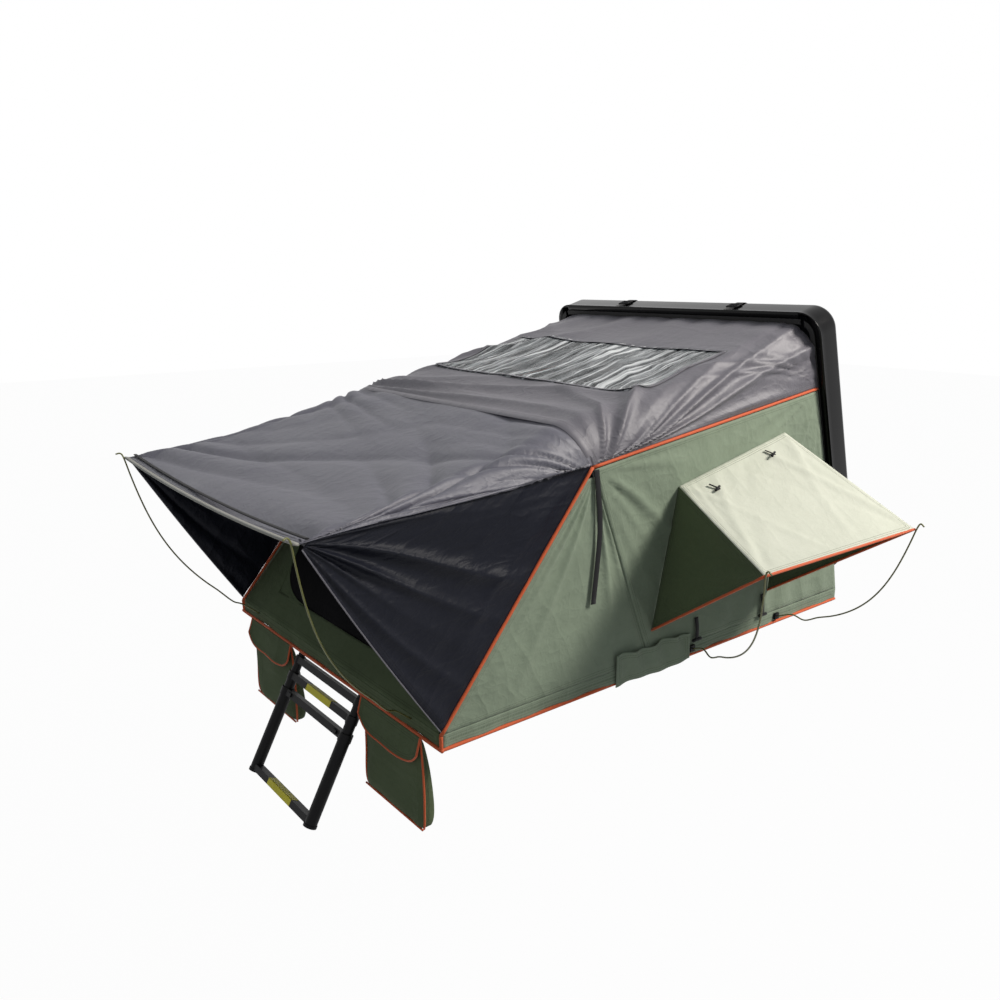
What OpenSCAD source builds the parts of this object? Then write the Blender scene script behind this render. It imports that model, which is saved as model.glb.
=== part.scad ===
// Hard-shell fold-out roof top tent, standing open.
// X runs across the tent, -Y is the door end and +Z is up. The origin is the centre of the
// rack bolts, on the underside of the mounting rails.

/* [Floor] */
// Width of the rigid base
base_w = 1400; // [1300:10:1500]
// Length of the fixed base under the shell
base_l = 1110; // [1050:10:1200]
// Length of the fold-out floor panel
panel_l = 900; // [850:10:950]
// Thickness of both floor boards
floor_t = 24; // [20:1:30]
// Width of the frame extrusion round the boards
frame_t = 20; // [16:1:26]
// Height of the base rim above the floor
upstand = 70; // [65:1:80]
// Thickness of the mattress
mattress_t = 40; // [30:1:42]

/* [Mounting rails] */
// Height of the mounting rails
rail_h = 36; // [30:1:45]
// Width of a mounting rail
rail_w = 44; // [36:1:60]
// Wall of a mounting rail
rail_wall = 3; // [2:0.5:5]
// Distance between the rails
rail_gap = 800; // [600:10:1000]
// Distance between the rack bolts along a rail
bolt_gap = 700; // [500:10:900]
// Diameter of a rack bolt hole
bolt_hole_d = 9; // [7:0.5:11]

/* [Shell] */
// Depth of the hard shell
lid_depth = 130; // [126:1:160]
// Wall of the hard shell
lid_wall = 4; // [3:0.5:6]
// Corner radius of the shell in plan
lid_corner = 90; // [60:5:95]
// Rounding of the edge between the shell's walls and top
lid_edge = 30; // [20:1:40]
// Angle of the shell above the base when it stands open
lid_open = 73; // [65:1:80]
// How far the shell stands out past the base at its sides
lid_overhang = 35; // [28:1:45]

/* [Bow] */
// Diameter of the bow tube
bow_d = 25; // [20:1:27]
// Height of the bow from its pivots to its top
bow_len = 839; // [780:1:842]
// Forward lean of the bow
bow_lean = 21.7; // [15:0.1:26]
// Bend radius of the bow's corners
bow_bend = 100; // [80:5:120]

/* [Fabric] */
// Thickness of the tent fabric
fabric_t = 3; // [2:0.5:4]
// Diameter of the seam piping
piping_d = 11; // [8:0.5:13]
// Width of the awning at its front edge
awning_w = 1398; // [1200:2:1420]
// How far the awning reaches past the front hem
awning_out = 402; // [300:5:500]
// Height of the awning's front edge
awning_z = 715; // [600:5:760]
// How far a window hood reaches out
hood_out = 500; // [350:5:550]

/* [Ladder] */
// Distance between the centres of the ladder stiles
ladder_w = 444; // [380:4:460]
// Diameter of the lowest, widest stile tube
stile_d = 44; // [42:1:46]
// Length of one stile tube
stile_l = 311; // [290:1:330]
// Distance between the stacked rungs
rung_step = 62; // [58:1:66]
// How far the ladder leans out
ladder_lean = 27.8; // [20:0.2:35]

/* [Hidden] */
$fn = 48;
gap = 0.3;
run_fit = 0.05;

// Levels and edges of the floor
z_floor = rail_h + floor_t;
z_rim = z_floor + upstand;
half_w = base_w / 2;
y_front = -base_l / 2;
y_rear = base_l / 2;
panel_back = y_front - 10;
panel_front = panel_back - panel_l;
hem_x = half_w + 20;
hem_y = panel_front - 35;
hem_z = 15;

// Hinge lines
lid_axis = [0, y_rear + 8, z_rim];
fold_axis = [0, y_front - 5, z_floor + mattress_t + bow_d / 2 + 2.5];
bow_axis = [0, fold_axis.y - 80, fold_axis.z];
bow_x = half_w - frame_t - bow_d / 2 - 7.5;

// Shell in its closed place
lid_side = half_w + lid_overhang;
lid_near = y_front - 27;
lid_far = y_rear - 7;
flange_w = lid_overhang + 12;
flange_t = 5;
seal_h = 2.7;

// Fabric seams
wall_lean = 0.8;
seam_gap = piping_d / 2 + 0.5;
seam_rise = seam_gap + 0.6;
arch_half = half_w + 10;
arch_bend = 126;
arch_low = bow_len - 123;
roof_top = lid_axis.y - lid_near - 41;
roof_half = half_w + 7;
roof_low = roof_top - 260;
roof_sag = 18;
awning_y = hem_y - awning_out;
awning_sag = 30;
hem_sag = 22;
bow_skin = bow_d / 2 + fabric_t / 2 + 1.8;
seal_stand = 0.5;

// Gas struts
strut_x = half_w - 45;
strut_d = 18;
strut_rod_d = 8;
strut_foot = lid_axis.y - 88;
strut_foot_h = 50;
strut_stud = 270;
strut_lift = lid_depth - 38;
strut_tube_l = 134;

// Ladder
ladder_axis = [0, hem_y + 30, 10];
stile_step = 6;
stile_wall = 2.9;

steel = [0.42, 0.43, 0.45];
alloy = [0.72, 0.73, 0.75];
black = [0.05, 0.05, 0.055];
green = [0.42, 0.47, 0.39];
grey = [0.25, 0.25, 0.28];
navy = [0.06, 0.06, 0.09];
orange = [0.8, 0.28, 0.1];

// Geometry helpers
function unit(v) = v / max(norm(v), 1e-9);
function mix(a, b, f) = a + (b - a) * f;

// Point on the bow's plane, s along the bow from its pivots
function bow_pt(x, s) = [x, bow_axis.y - s * sin(bow_lean), bow_axis.z + s * cos(bow_lean)];

// Point of the standing shell, s along it from the hinge and d deep into it
function lid_pt(x, s, d) = [
    x,
    lid_axis.y - s * cos(lid_open) + d * sin(lid_open),
    lid_axis.z + s * sin(lid_open) + d * cos(lid_open)
];

// Arch with upright sides and round shoulders: g runs from -1 to 1 across the tent
arch_side = 0.85;
arch_flat = 0.45;
function arch_turn(g) = 90 * min(1, max(0, (arch_side - abs(g)) / (arch_side - arch_flat)));
function arch_x(half, g) = abs(g) < arch_flat
    ? g / arch_flat * (half - arch_bend)
    : sign(g) * (half - arch_bend + arch_bend * cos(arch_turn(g)));
function arch_s(low, top, g) = abs(g) > arch_side
    ? mix(top - arch_bend, low, (abs(g) - arch_side) / (1 - arch_side))
    : top - arch_bend + arch_bend * sin(arch_turn(g));

function bow_arch(g, rise = 0) =
    bow_pt(arch_x(arch_half, g), arch_s(arch_low + rise, bow_len + bow_skin, g));
function lid_arch(g, rise = 0) =
    lid_pt(arch_x(roof_half, g), arch_s(roof_low + rise, roof_top, g), -seal_h - seal_stand);
// The flat top of the arch widens to nearly the whole of the awning's front edge
hem_flat = 0.94;
function hem_share(g) = abs(g) < arch_flat
    ? g / arch_flat * hem_flat
    : sign(g) * mix(hem_flat, 1, (abs(g) - arch_flat) / (1 - arch_flat));
function hem_pt(g) =
    [hem_share(g) * awning_w / 2, awning_y, awning_z - hem_sag * (1 - pow(hem_share(g), 2))];
function roof_pt(f, g) =
    mix(bow_arch(g, seam_rise), lid_arch(g, seam_rise), f) - [0, 0, roof_sag * sin(180 * f) * cos(90 * g)];
function awning_pt(f, g) =
    mix(bow_arch(g, seam_rise + 1), hem_pt(g), f) - [0, 0, awning_sag * sin(180 * f) * cos(90 * g)];

bow_corner = bow_arch(1);
lid_corner_pt = lid_arch(1);
awning_corner = hem_pt(1);
front_corner = [hem_x, hem_y, z_floor + 2];
hem_corner = [hem_x, hem_y, hem_z];

// Round bar between two points
module bar(p, q, d) {
    v = q - p;
    translate(p) rotate([0, acos(v.z / norm(v)), atan2(v.y, v.x)]) cylinder(h = norm(v), d = d);
}

// Box from its lowest to its highest corner
module span(p, q) {
    translate(p) cube(q - p);
}

// Copies a piece to the other side of the tent
module both_sides() {
    children();
    mirror([1, 0, 0]) children();
}

// Moves a piece made in the closed shell's place to the standing shell
module stand_open() {
    translate(lid_axis) rotate([-lid_open, 0, 0]) translate(-lid_axis) children();
}

// Plate of an outline drawn across Y and Z, from x to x + t
module side_plate(x, t) {
    translate([x, 0, 0]) rotate([90, 0, 90]) linear_extrude(t) children();
}

// Closed sheet of thickness t over a grid of points, with an optional hole of whole cells
module sheet(p, t, hole = [0, 0, 0, 0]) {
    rows = len(p);
    cols = len(p[0]);
    n = [for (i = [0:rows - 1]) [for (j = [0:cols - 1]) unit(cross(
        p[i][min(j + 1, cols - 1)] - p[i][max(j - 1, 0)],
        p[min(i + 1, rows - 1)][j] - p[max(i - 1, 0)][j]
    ))]];
    points = [
        for (s = [1, -1]) for (i = [0:rows - 1]) for (j = [0:cols - 1]) p[i][j] + n[i][j] * s * t / 2
    ];
    size = rows * cols;
    function at(i, j) = i * cols + j;
    function kept(i, j) = i >= 0 && j >= 0 && i < rows - 1 && j < cols - 1
        && !(i >= hole[0] && i < hole[1] && j >= hole[2] && j < hole[3]);
    cells = [for (i = [0:rows - 2]) for (j = [0:cols - 2]) if (kept(i, j)) [i, j]];
    function quad(a, b, c, d) = [[a, b, c], [a, c, d]];
    faces = [for (c = cells) let (
        i = c[0], j = c[1],
        a = at(i, j), b = at(i, j + 1), e = at(i + 1, j + 1), d = at(i + 1, j)
    ) each concat(
        quad(a, d, e, b),
        quad(a + size, b + size, e + size, d + size),
        kept(i - 1, j) ? [] : quad(a, b, b + size, a + size),
        kept(i + 1, j) ? [] : quad(e, d, d + size, e + size),
        kept(i, j - 1) ? [] : quad(d, a, a + size, d + size),
        kept(i, j + 1) ? [] : quad(b, e, e + size, b + size)
    )];
    polyhedron(points, faces);
}

// Round tube swept along points
module sweep(p, d, sides = 8) {
    rings = len(p);
    dir = [for (i = [0:rings - 1]) unit(p[min(i + 1, rings - 1)] - p[max(i - 1, 0)])];
    side = [for (i = [0:rings - 1]) unit(cross(dir[i], [0.3, 0.5, -0.2]))];
    points = [for (i = [0:rings - 1]) for (k = [0:sides - 1]) let (a = 360 * k / sides)
        p[i] + d / 2 * (cos(a) * side[i] + sin(a) * cross(dir[i], side[i]))];
    ends = [[for (k = [0:sides - 1]) k], [for (k = [0:sides - 1]) rings * sides - 1 - k]];
    faces = [for (i = [0:rings - 2]) for (k = [0:sides - 1]) let (
        a = i * sides + k, b = i * sides + (k + 1) % sides
    ) each [[a, a + sides, b + sides], [a, b + sides, b]]];
    polyhedron(points, concat(ends, faces));
}

// Points on a bowed rod from a to b, pushed out by v at its middle
function bowed(a, b, v, steps = 10) =
    [for (i = [0:steps]) mix(a, b, i / steps) + v * sin(180 * i / steps)];

// Fixed base
module mounting_rails() {
    color(alloy) both_sides() difference() {
        span([rail_gap / 2 - rail_w / 2, y_front + 20, 0], [rail_gap / 2 + rail_w / 2, y_rear - 20, rail_h]);
        span(
            [rail_gap / 2 - rail_w / 2 - 1, y_front, rail_wall],
            [rail_gap / 2 + rail_w / 2 - rail_wall, y_rear, rail_h - rail_wall]
        );
        for (y = [-bolt_gap / 2, bolt_gap / 2])
            translate([rail_gap / 2, y, -1]) cylinder(h = rail_wall + 2, d = bolt_hole_d);
        for (y = [-1, 0, 1] * bolt_gap * 0.6)
            translate([rail_gap / 2, y, rail_h - rail_wall - 1])
                cylinder(h = rail_wall + 2, d = rail_screw_d + 2 * run_fit);
    }
}

rail_screw_d = 6;
rail_screw_l = 18;

module rail_bolts() {
    color(steel) both_sides() for (y = [-1, 0, 1] * bolt_gap * 0.6) translate([rail_gap / 2, y, 0]) {
        translate([0, 0, rail_h - rail_wall - 4]) cylinder(h = 4, d = 11);
        translate([0, 0, rail_h - rail_wall - 0.5]) cylinder(h = rail_screw_l, d = rail_screw_d);
    }
}

module base_panel() {
    color(grey) difference() {
        span([-half_w + frame_t, y_front, rail_h], [half_w - frame_t, y_rear - frame_t, z_floor]);
        for (x = [-1, 1] * rail_gap / 2) for (y = [-1, 0, 1] * bolt_gap * 0.6)
            translate([x, y, rail_h - 1])
                cylinder(h = rail_screw_l, d = rail_screw_d + 2 * run_fit);
    }
}

module base_frame() {
    color(alloy) difference() {
        span([-half_w, y_front, rail_h], [half_w, y_rear, z_rim - seal_h - gap]);
        span([-half_w + frame_t, y_front - 1, rail_h - 1], [half_w - frame_t, y_rear - frame_t, z_rim]);
        both_sides() span(
            [half_w - frame_t + 4, y_front - 1, z_floor + 6],
            [half_w - 4, y_rear - frame_t, z_rim - seal_h - gap - 6]
        );
    }
}

// Channels that hold the beaded edge of the fabric
keder_h = 16;

module base_keder_rails() {
    color(black) both_sides() side_plate(half_w, hem_x - half_w - fabric_t / 2 - keder_lean - gap)
        polygon([
            [y_front + 2, z_floor - keder_h], [y_rear - 40, z_floor - keder_h],
            [y_rear - 40, z_floor], [y_front + 2, z_floor]
        ]);
}

keder_lean = (z_floor - hem_z) * tan(wall_lean) + 0.1;

module mattress(y0, y1) {
    edge = 12;
    crown = 5;
    x = half_w - frame_t - 46;
    rows = 9;
    function fall(k) = 1 - pow(abs(2 * k - 1), 6);
    function top(u, v) = z_floor + mattress_t - edge - crown + (edge + crown) * min(fall(u), fall(v));
    steps = [for (i = [0:rows - 1]) i / (rows - 1)];
    points = [
        for (u = steps) for (v = steps) [mix(-x, x, u), mix(y0, y1, v), top(u, v)],
        for (u = steps) for (v = steps) [mix(-x, x, u), mix(y0, y1, v), z_floor]
    ];
    size = rows * rows;
    last = rows - 1;
    function at(i, j) = i * rows + j;
    function quad(a, b, c, d) = [[a, b, c], [a, c, d]];
    function side(a, b) = quad(a, b, b + size, a + size);
    faces = concat(
        [for (i = [0:last - 1]) for (j = [0:last - 1]) each concat(
            quad(at(i, j), at(i, j + 1), at(i + 1, j + 1), at(i + 1, j)),
            quad(at(i, j) + size, at(i + 1, j) + size, at(i + 1, j + 1) + size, at(i, j + 1) + size)
        )],
        [for (i = [0:last - 1]) each concat(
            side(at(0, i + 1), at(0, i)), side(at(last, i), at(last, i + 1)),
            side(at(i, 0), at(i + 1, 0)), side(at(i + 1, last), at(i, last))
        )]
    );
    polyhedron(points, faces);
}

module mattress_rear() {
    color(navy) mattress(y_front + 15, y_rear - frame_t - 20);
}

// Hinges at the back of the shell
hinge_x = [-0.34 * base_w, 0, 0.34 * base_w];
knuckle_d = 12;
knuckle_l = 20;
pin_d = 6;

module knuckle(x0, x1) {
    translate([x0, lid_axis.y, lid_axis.z]) rotate([0, 90, 0]) difference() {
        cylinder(h = x1 - x0, d = knuckle_d);
        translate([0, 0, -1]) cylinder(h = x1 - x0 + 2, d = pin_d + 2 * run_fit);
    }
}

module lid_hinge_base_leaves() {
    color(steel) for (x = hinge_x) translate([x, 0, 0]) {
        for (s = [-1, 1]) {
            difference() {
                union() {
                    knuckle(s > 0 ? knuckle_l / 2 : -1.5 * knuckle_l, s > 0 ? 1.5 * knuckle_l : -knuckle_l / 2);
                    span(
                        [s * knuckle_l - knuckle_l / 2, y_rear, lid_axis.z - 45],
                        [s * knuckle_l + knuckle_l / 2, y_rear + 3, lid_axis.z - 4]
                    );
                    span(
                        [s * knuckle_l - knuckle_l / 2, y_rear, lid_axis.z - 8],
                        [s * knuckle_l + knuckle_l / 2, lid_axis.y, lid_axis.z - 4]
                    );
                }
                translate([-2 * knuckle_l, lid_axis.y, lid_axis.z]) rotate([0, 90, 0])
                    cylinder(h = 4 * knuckle_l, d = pin_d + 2 * run_fit);
            }
        }
        span([-1.5 * knuckle_l, y_rear, lid_axis.z - 45], [1.5 * knuckle_l, y_rear + 3, lid_axis.z - 12]);
    }
}

module lid_hinge_pins() {
    color(steel) for (x = hinge_x)
        translate([x - 1.5 * knuckle_l - 1, lid_axis.y, lid_axis.z]) rotate([0, 90, 0])
            cylinder(h = 3 * knuckle_l + 2, d = pin_d);
}

module lid_hinge_lid_leaves() {
    color(steel) stand_open() for (x = hinge_x) translate([x, 0, 0]) difference() {
        union() {
            knuckle(-knuckle_l / 2 + gap, knuckle_l / 2 - gap);
            span(
                [-knuckle_l / 2 + gap, lid_far, lid_axis.z + 8],
                [knuckle_l / 2 - gap, lid_far + 3, lid_axis.z + 45]
            );
            span(
                [-knuckle_l / 2 + gap, lid_far, lid_axis.z + 8],
                [knuckle_l / 2 - gap, lid_axis.y, lid_axis.z + 8 + 4]
            );
            span(
                [-knuckle_l / 2 + gap, lid_axis.y - 4, lid_axis.z + 3.5],
                [knuckle_l / 2 - gap, lid_axis.y, lid_axis.z + 8]
            );
        }
        translate([-knuckle_l, lid_axis.y, lid_axis.z]) rotate([0, 90, 0])
            cylinder(h = 2 * knuckle_l, d = pin_d + 2 * run_fit);
    }
}

// Hinges of the fold-out floor
plate_t = 8;
plate_x = half_w - frame_t - 2 * plate_t - 4;
ear_r = 10;
fold_pin_d = 10;

module fold_plate(x, side) {
    difference() {
        union() {
            side_plate(x, plate_t) {
                translate([fold_axis.y, fold_axis.z]) circle(r = ear_r);
                polygon([
                    [fold_axis.y - ear_r * 0.9, fold_axis.z - 4], [fold_axis.y + ear_r * 0.9, fold_axis.z - 4],
                    [fold_axis.y + side * 30 + 14, z_floor], [fold_axis.y + side * 30 - 14, z_floor]
                ]);
                translate([fold_axis.y + side * 70 - 54, z_floor]) square([108, 6]);
            }
        }
        translate([x - 1, fold_axis.y, fold_axis.z]) rotate([0, 90, 0])
            cylinder(h = plate_t + 2, d = fold_pin_d + 2 * run_fit);
    }
}

module fold_hinge_base_plates() {
    color(steel) both_sides() fold_plate(plate_x + plate_t + 1, 1);
}

module fold_hinge_panel_plates() {
    color(steel) both_sides() fold_plate(plate_x, -1);
}

module fold_hinge_pins() {
    color(alloy) both_sides() translate([plate_x - 3, fold_axis.y, fold_axis.z]) rotate([0, 90, 0]) {
        cylinder(h = 2 * plate_t + 6, d = fold_pin_d);
        cylinder(h = 3 - gap, d = fold_pin_d + 4);
    }
}

// Gas struts, with their foot on the base and their head beside the shell's boss
strut_base = [strut_x, strut_foot, z_rim + strut_foot_h];
strut_top = lid_pt(strut_x, strut_stud, strut_lift);
strut_len = norm(strut_top - strut_base);
strut_turn = atan2(strut_top.y - strut_base.y, strut_top.z - strut_base.z);

module along_strut(x) {
    translate([x, strut_base.y, strut_base.z]) rotate([-strut_turn, 0, 0]) children();
}

module strut_base_brackets() {
    color(steel) both_sides() {
        translate([strut_x - strut_d / 2, strut_base.y, strut_base.z]) rotate([0, 90, 0])
            cylinder(h = strut_d + 3, d = strut_pin_d);
        side_plate(strut_x + strut_d / 2 + 1, 8) polygon([
            [strut_base.y - 24, z_floor + 16], [strut_base.y + 24, z_floor + 16],
            [strut_base.y + 11, strut_base.z + 10], [strut_base.y - 11, strut_base.z + 10]
        ]);
        span(
            [strut_x + strut_d / 2 + 1, strut_base.y - 24, z_floor + 16],
            [half_w - frame_t, strut_base.y + 24, z_rim - 22]
        );
    }
}

strut_pin_d = 9;

module strut_tube(x) {
    color(black) {
        difference() {
            along_strut(x) {
                translate([0, 0, 14]) cylinder(h = strut_tube_l - 14, d = strut_d);
                rotate([0, 90, 0]) translate([0, 0, -8]) cylinder(h = 16, d = 20);
                translate([0, 0, 4]) cylinder(h = 14, d = 12);
            }
            along_strut(x) {
                translate([0, 0, 24]) cylinder(h = strut_tube_l - 24 - 16, d = strut_d - 5);
                translate([0, 0, 20]) cylinder(h = strut_tube_l, d = strut_rod_d + 2 * run_fit);
            }
            translate([x - 20, strut_base.y, strut_base.z]) rotate([0, 90, 0])
                cylinder(h = 40, d = strut_pin_d + 2 * run_fit);
        }
    }
}

module strut_rod(x) {
    color(alloy) along_strut(x) {
        translate([0, 0, strut_tube_l - 40]) cylinder(h = strut_len - strut_tube_l + 40 - 6, d = strut_rod_d);
        translate([0, 0, strut_tube_l - 40]) cylinder(h = 14, d = strut_d - 5.4);
        translate([0, 0, strut_len - 22]) cylinder(h = 14, d = 13);
        translate([0, 0, strut_len]) rotate([0, 90, 0]) translate([0, 0, -8]) cylinder(h = 16, d = 18);
    }
}

module strut_tube_left() { strut_tube(-strut_x); }
module strut_tube_right() { strut_tube(strut_x); }
module strut_rod_left() { strut_rod(-strut_x); }
module strut_rod_right() { strut_rod(strut_x); }

module strut_lid_brackets() {
    color(steel) stand_open() both_sides() {
        translate([strut_x + 8 + gap, lid_axis.y - strut_stud, z_rim + strut_lift]) rotate([0, 90, 0])
            cylinder(h = lid_side - lid_wall - strut_x - 8 - gap, d = 14);
        side_plate(lid_side - lid_wall - 4, 4) polygon([
            [lid_axis.y - strut_stud - 40, z_rim + flange_t], [lid_axis.y - strut_stud + 40, z_rim + flange_t],
            [lid_axis.y - strut_stud + 24, z_rim + strut_lift + 8], [lid_axis.y - strut_stud - 24, z_rim + strut_lift + 8]
        ]);
    }
}

// Shell, drawn closed and then stood open
module lid_plan(grow) {
    x = lid_side + grow;
    r = lid_corner + grow;
    for (sx = [-1, 1]) for (y = [lid_near - grow + r, lid_far + grow - r])
        translate([sx * (x - r), y]) circle(r = r);
    translate([-x + r, lid_near - grow]) square([2 * (x - r), lid_far - lid_near + 2 * grow]);
    translate([-x, lid_near - grow + r]) square([2 * x, lid_far - lid_near + 2 * grow - 2 * r]);
}

// Round-shouldered block of the shell's plan, for its outside and its hollow
module lid_block(grow, h, edge) {
    hull() for (sx = [-1, 1]) for (y = [lid_near - grow + lid_corner + grow, lid_far - lid_corner])
        translate([sx * (lid_side - lid_corner), y, 0]) rotate_extrude($fn = 40) {
            square([lid_corner + grow, h - edge]);
            square([lid_corner + grow - edge, h]);
            translate([lid_corner + grow - edge, h - edge]) intersection() {
                circle(r = edge, $fn = 32);
                square(edge);
            }
        }
}

module lid_shell() {
    color(black) stand_open() translate([0, 0, z_rim]) {
        difference() {
            union() {
                lid_block(0, lid_depth, lid_edge);
                for (x = [-2, -1, 0, 1, 2] * lid_side / 3.2)
                    span([x - 45, lid_near + 120, lid_depth - 3], [x + 45, lid_far - 120, lid_depth + 4]);
            }
            translate([0, 0, -1]) lid_block(-lid_wall, lid_depth - lid_wall + 1, lid_edge - lid_wall);
        }
        difference() {
            linear_extrude(flange_t) lid_plan(4);
            translate([0, 0, -1]) linear_extrude(flange_t + 2) lid_plan(4 - flange_w);
            translate([0, 0, -1]) linear_extrude(flange_t + 2) hinge_notches();
        }
    }
}

// Clearance in the rim for the floor hinges when all is folded
module hinge_notches() {
    intersection() {
        lid_plan(-lid_wall);
        for (sx = [-1, 1]) translate([sx * (plate_x + plate_t / 2) - plate_t, lid_near])
            square([2 * plate_t, flange_w + 10]);
    }
}

module lid_seal() {
    color(black) stand_open() translate([0, 0, z_rim - seal_h]) difference() {
        linear_extrude(seal_h) lid_plan(4 - flange_w + 20);
        translate([0, 0, -1]) linear_extrude(seal_h + 2) lid_plan(4 - flange_w);
        translate([0, 0, -1]) linear_extrude(seal_h + 2) hinge_notches();
    }
}

module lid_liner() {
    color(grey) stand_open() translate([0, 0, z_rim + lid_depth - lid_wall - 4 - gap])
        linear_extrude(4) lid_plan(-lid_edge - 6);
}

// Webbing straps and buckles that hold the shell shut
strap_w = 38;

module closing_straps() {
    color(black) stand_open() for (x = [-1, 1] * lid_side * 0.42) translate([x, 0, z_rim]) {
        span([-strap_w / 2, lid_near - 2.6, flange_t + gap], [strap_w / 2, lid_near - gap, lid_depth - lid_edge]);
        difference() {
            span([-strap_w / 2 - 6, lid_near - 12, 34], [strap_w / 2 + 6, lid_near - 2.6, 74]);
            span([-strap_w / 2 + 4, lid_near - 13, 44], [strap_w / 2 - 4, lid_near - 5, 64]);
        }
    }
}

// Side walls, drawn flat and then leaned in
module lean_wall(side) {
    mirror([side < 0 ? 1 : 0, 0, 0])
        translate([hem_x, 0, hem_z]) rotate([0, -wall_lean, 0]) translate([-fabric_t / 2, 0, 0])
            rotate([90, 0, 90]) linear_extrude(fabric_t) children();
}

function wall_s(z) = (z - hem_z) / cos(wall_lean);
function wall_yz(p) = [p.y, wall_s(p.z)];
bow_foot = [bow_axis.y + (bow_axis.z - hem_z) * tan(bow_lean), 0];

// Corners of a window hood: along the wall and at its outer edge
hood_wall = [[-610, 165], [-495, 660], [105, 785], [60, 165]];
hood_edge = [[-700, 515], [165, 505]];
window_in = 55;

module window_outline(grow) {
    offset(delta = grow) polygon([for (p = hood_wall) [p.x, wall_s(p.y)]]);
}

module side_wall_rear(side) {
    c = wall_yz(bow_corner);
    l = wall_yz(lid_corner_pt);
    color(green) lean_wall(side) difference() {
        polygon([
            bow_foot + [0.6, seam_gap], c + [4, -seam_gap * 1.1], l + [0, -seam_gap * 1.1],
            [lid_axis.y - 6, wall_s(z_rim)], [lid_axis.y - 6, seam_gap]
        ]);
        window_outline(-window_in);
    }
}

module side_wall_rear_left() { side_wall_rear(-1); }
module side_wall_rear_right() { side_wall_rear(1); }

module window_meshes() {
    color(black) both_sides()
        translate([hem_x, 0, hem_z]) rotate([0, -wall_lean, 0]) translate([-fabric_t / 2 - 1.3, 0, 0])
            rotate([90, 0, 90]) linear_extrude(1) window_outline(-window_in + 12);
}

module side_wall_front(side) {
    c = wall_yz(bow_corner);
    color(green) lean_wall(side) polygon([
        [hem_y + seam_gap, seam_gap], bow_foot + [-0.6, seam_gap], c + [-4, -seam_gap * 3],
        [hem_y + seam_gap, wall_s(front_corner.z) - 2]
    ]);
}

module side_wall_front_left() { side_wall_front(-1); }
module side_wall_front_right() { side_wall_front(1); }

// Loose flaps over the floor hinge
flap_t = 2;
flap_front = fold_axis.y - 230;
flap_back = fold_axis.y + 150;

module hinge_flaps() {
    color(green) both_sides() side_plate(hem_x + piping_d / 2 + gap, flap_t) polygon([
        [flap_front, 8], [flap_back, 8], [flap_back, 112], [flap_front, 118]
    ]);
}

module piping_rear() {
    color(orange) both_sides() {
        bar(bow_corner + [0, 2, 0], lid_corner_pt - [0, 2, 0], piping_d);
        bar([hem_x, fold_axis.y + 130, hem_z], [hem_x, lid_axis.y - 6, hem_z], piping_d);
    }
}

module piping_front() {
    color(orange) {
        both_sides() {
            bar(bow_corner - [0, 2, 0], front_corner, piping_d);
            bar(hem_corner + [0, 3, 0], [hem_x, fold_axis.y - 130, hem_z], piping_d);
        }
        bar([-hem_x + 8, hem_y, hem_z], hem_corner - [8, 0, 0], piping_d);
    }
}

module roof_rear() {
    color(grey) sheet(
        [for (i = [0:10]) [for (j = [0:16]) roof_pt(0.001 + 0.999 * i / 10, j / 8 - 1)]],
        fabric_t, [4, 8, 5, 11]
    );
}

module skylight() {
    color([0.8, 0.85, 0.9, 0.4]) sheet(
        [for (i = [0:6]) [for (j = [0:6])
            roof_pt(0.39 + 0.42 * i / 6, (-0.395 + 0.79 * j / 6)) + [0, -0.6, 2.5]]],
        1
    );
}

// Window hoods, one folded sheet each, with a bowed rod at each outer corner
function hood_x(z) = hem_x - (z - hem_z) * tan(wall_lean) + fabric_t / 2 + 1.2;
function hood_in(k) = let (p = hood_wall[k]) [hood_x(p.y), p.x, p.y];
function hood_tip(k) = [hem_x + hood_out, hood_edge[k].x, hood_edge[k].y];

module hood(side) {
    inner = [
        for (f = [0:3]) mix(hood_in(0), hood_in(1), f / 3),
        for (f = [1:5]) mix(hood_in(1), hood_in(2), f / 5),
        for (f = [1:3]) mix(hood_in(2), hood_in(3), f / 3)
    ];
    outer = [
        for (f = [0:3]) hood_tip(0) + [0, -2 + 2 * f / 3, -6 + 2 * f],
        for (f = [1:5]) mix(hood_tip(0), hood_tip(1), f / 5),
        for (f = [1:3]) hood_tip(1) + [0, 2 * f / 3, -2 * f]
    ];
    color(green) mirror([side < 0 ? 1 : 0, 0, 0])
        sheet([for (i = [0:4]) [for (j = [0:len(inner) - 1]) mix(inner[j], outer[j], i / 4)]], 2);
}

module hood_left() { hood(-1); }
module hood_right() { hood(1); }

hood_rod_d = 7;
hood_foot_y = [flap_back + 18, 124];
hood_foot_z = 42;
hood_rod_seat = [1.2, 0.6];

module hood_rods(side) {
    color(steel) mirror([side < 0 ? 1 : 0, 0, 0]) for (k = [0, 1]) sweep(
        bowed(
            [hem_x + 12 + hood_rod_seat[k], hood_foot_y[k], hood_foot_z],
            hood_tip(k) + [6.4, (2 * k - 1) * 3.9, 2.5], [85, 0, -95]
        ),
        hood_rod_d
    );
}

module hood_rods_left() { hood_rods(-1); }
module hood_rods_right() { hood_rods(1); }

// Sockets on the base's edge that take the hood rods through eyelets in the skirt
module hood_rod_sockets() {
    color(black) both_sides() for (y = hood_foot_y)
        span([hem_x + fabric_t / 2 + 0.1, y - 12, hood_foot_z - 12], [hem_x + 12 - gap, y + 12, hood_foot_z + 12]);
}

// Fold-out floor
module fold_panel() {
    color(grey) span(
        [-half_w + frame_t, panel_front + frame_t, rail_h], [half_w - frame_t, panel_back - frame_t, z_floor]
    );
}

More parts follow.
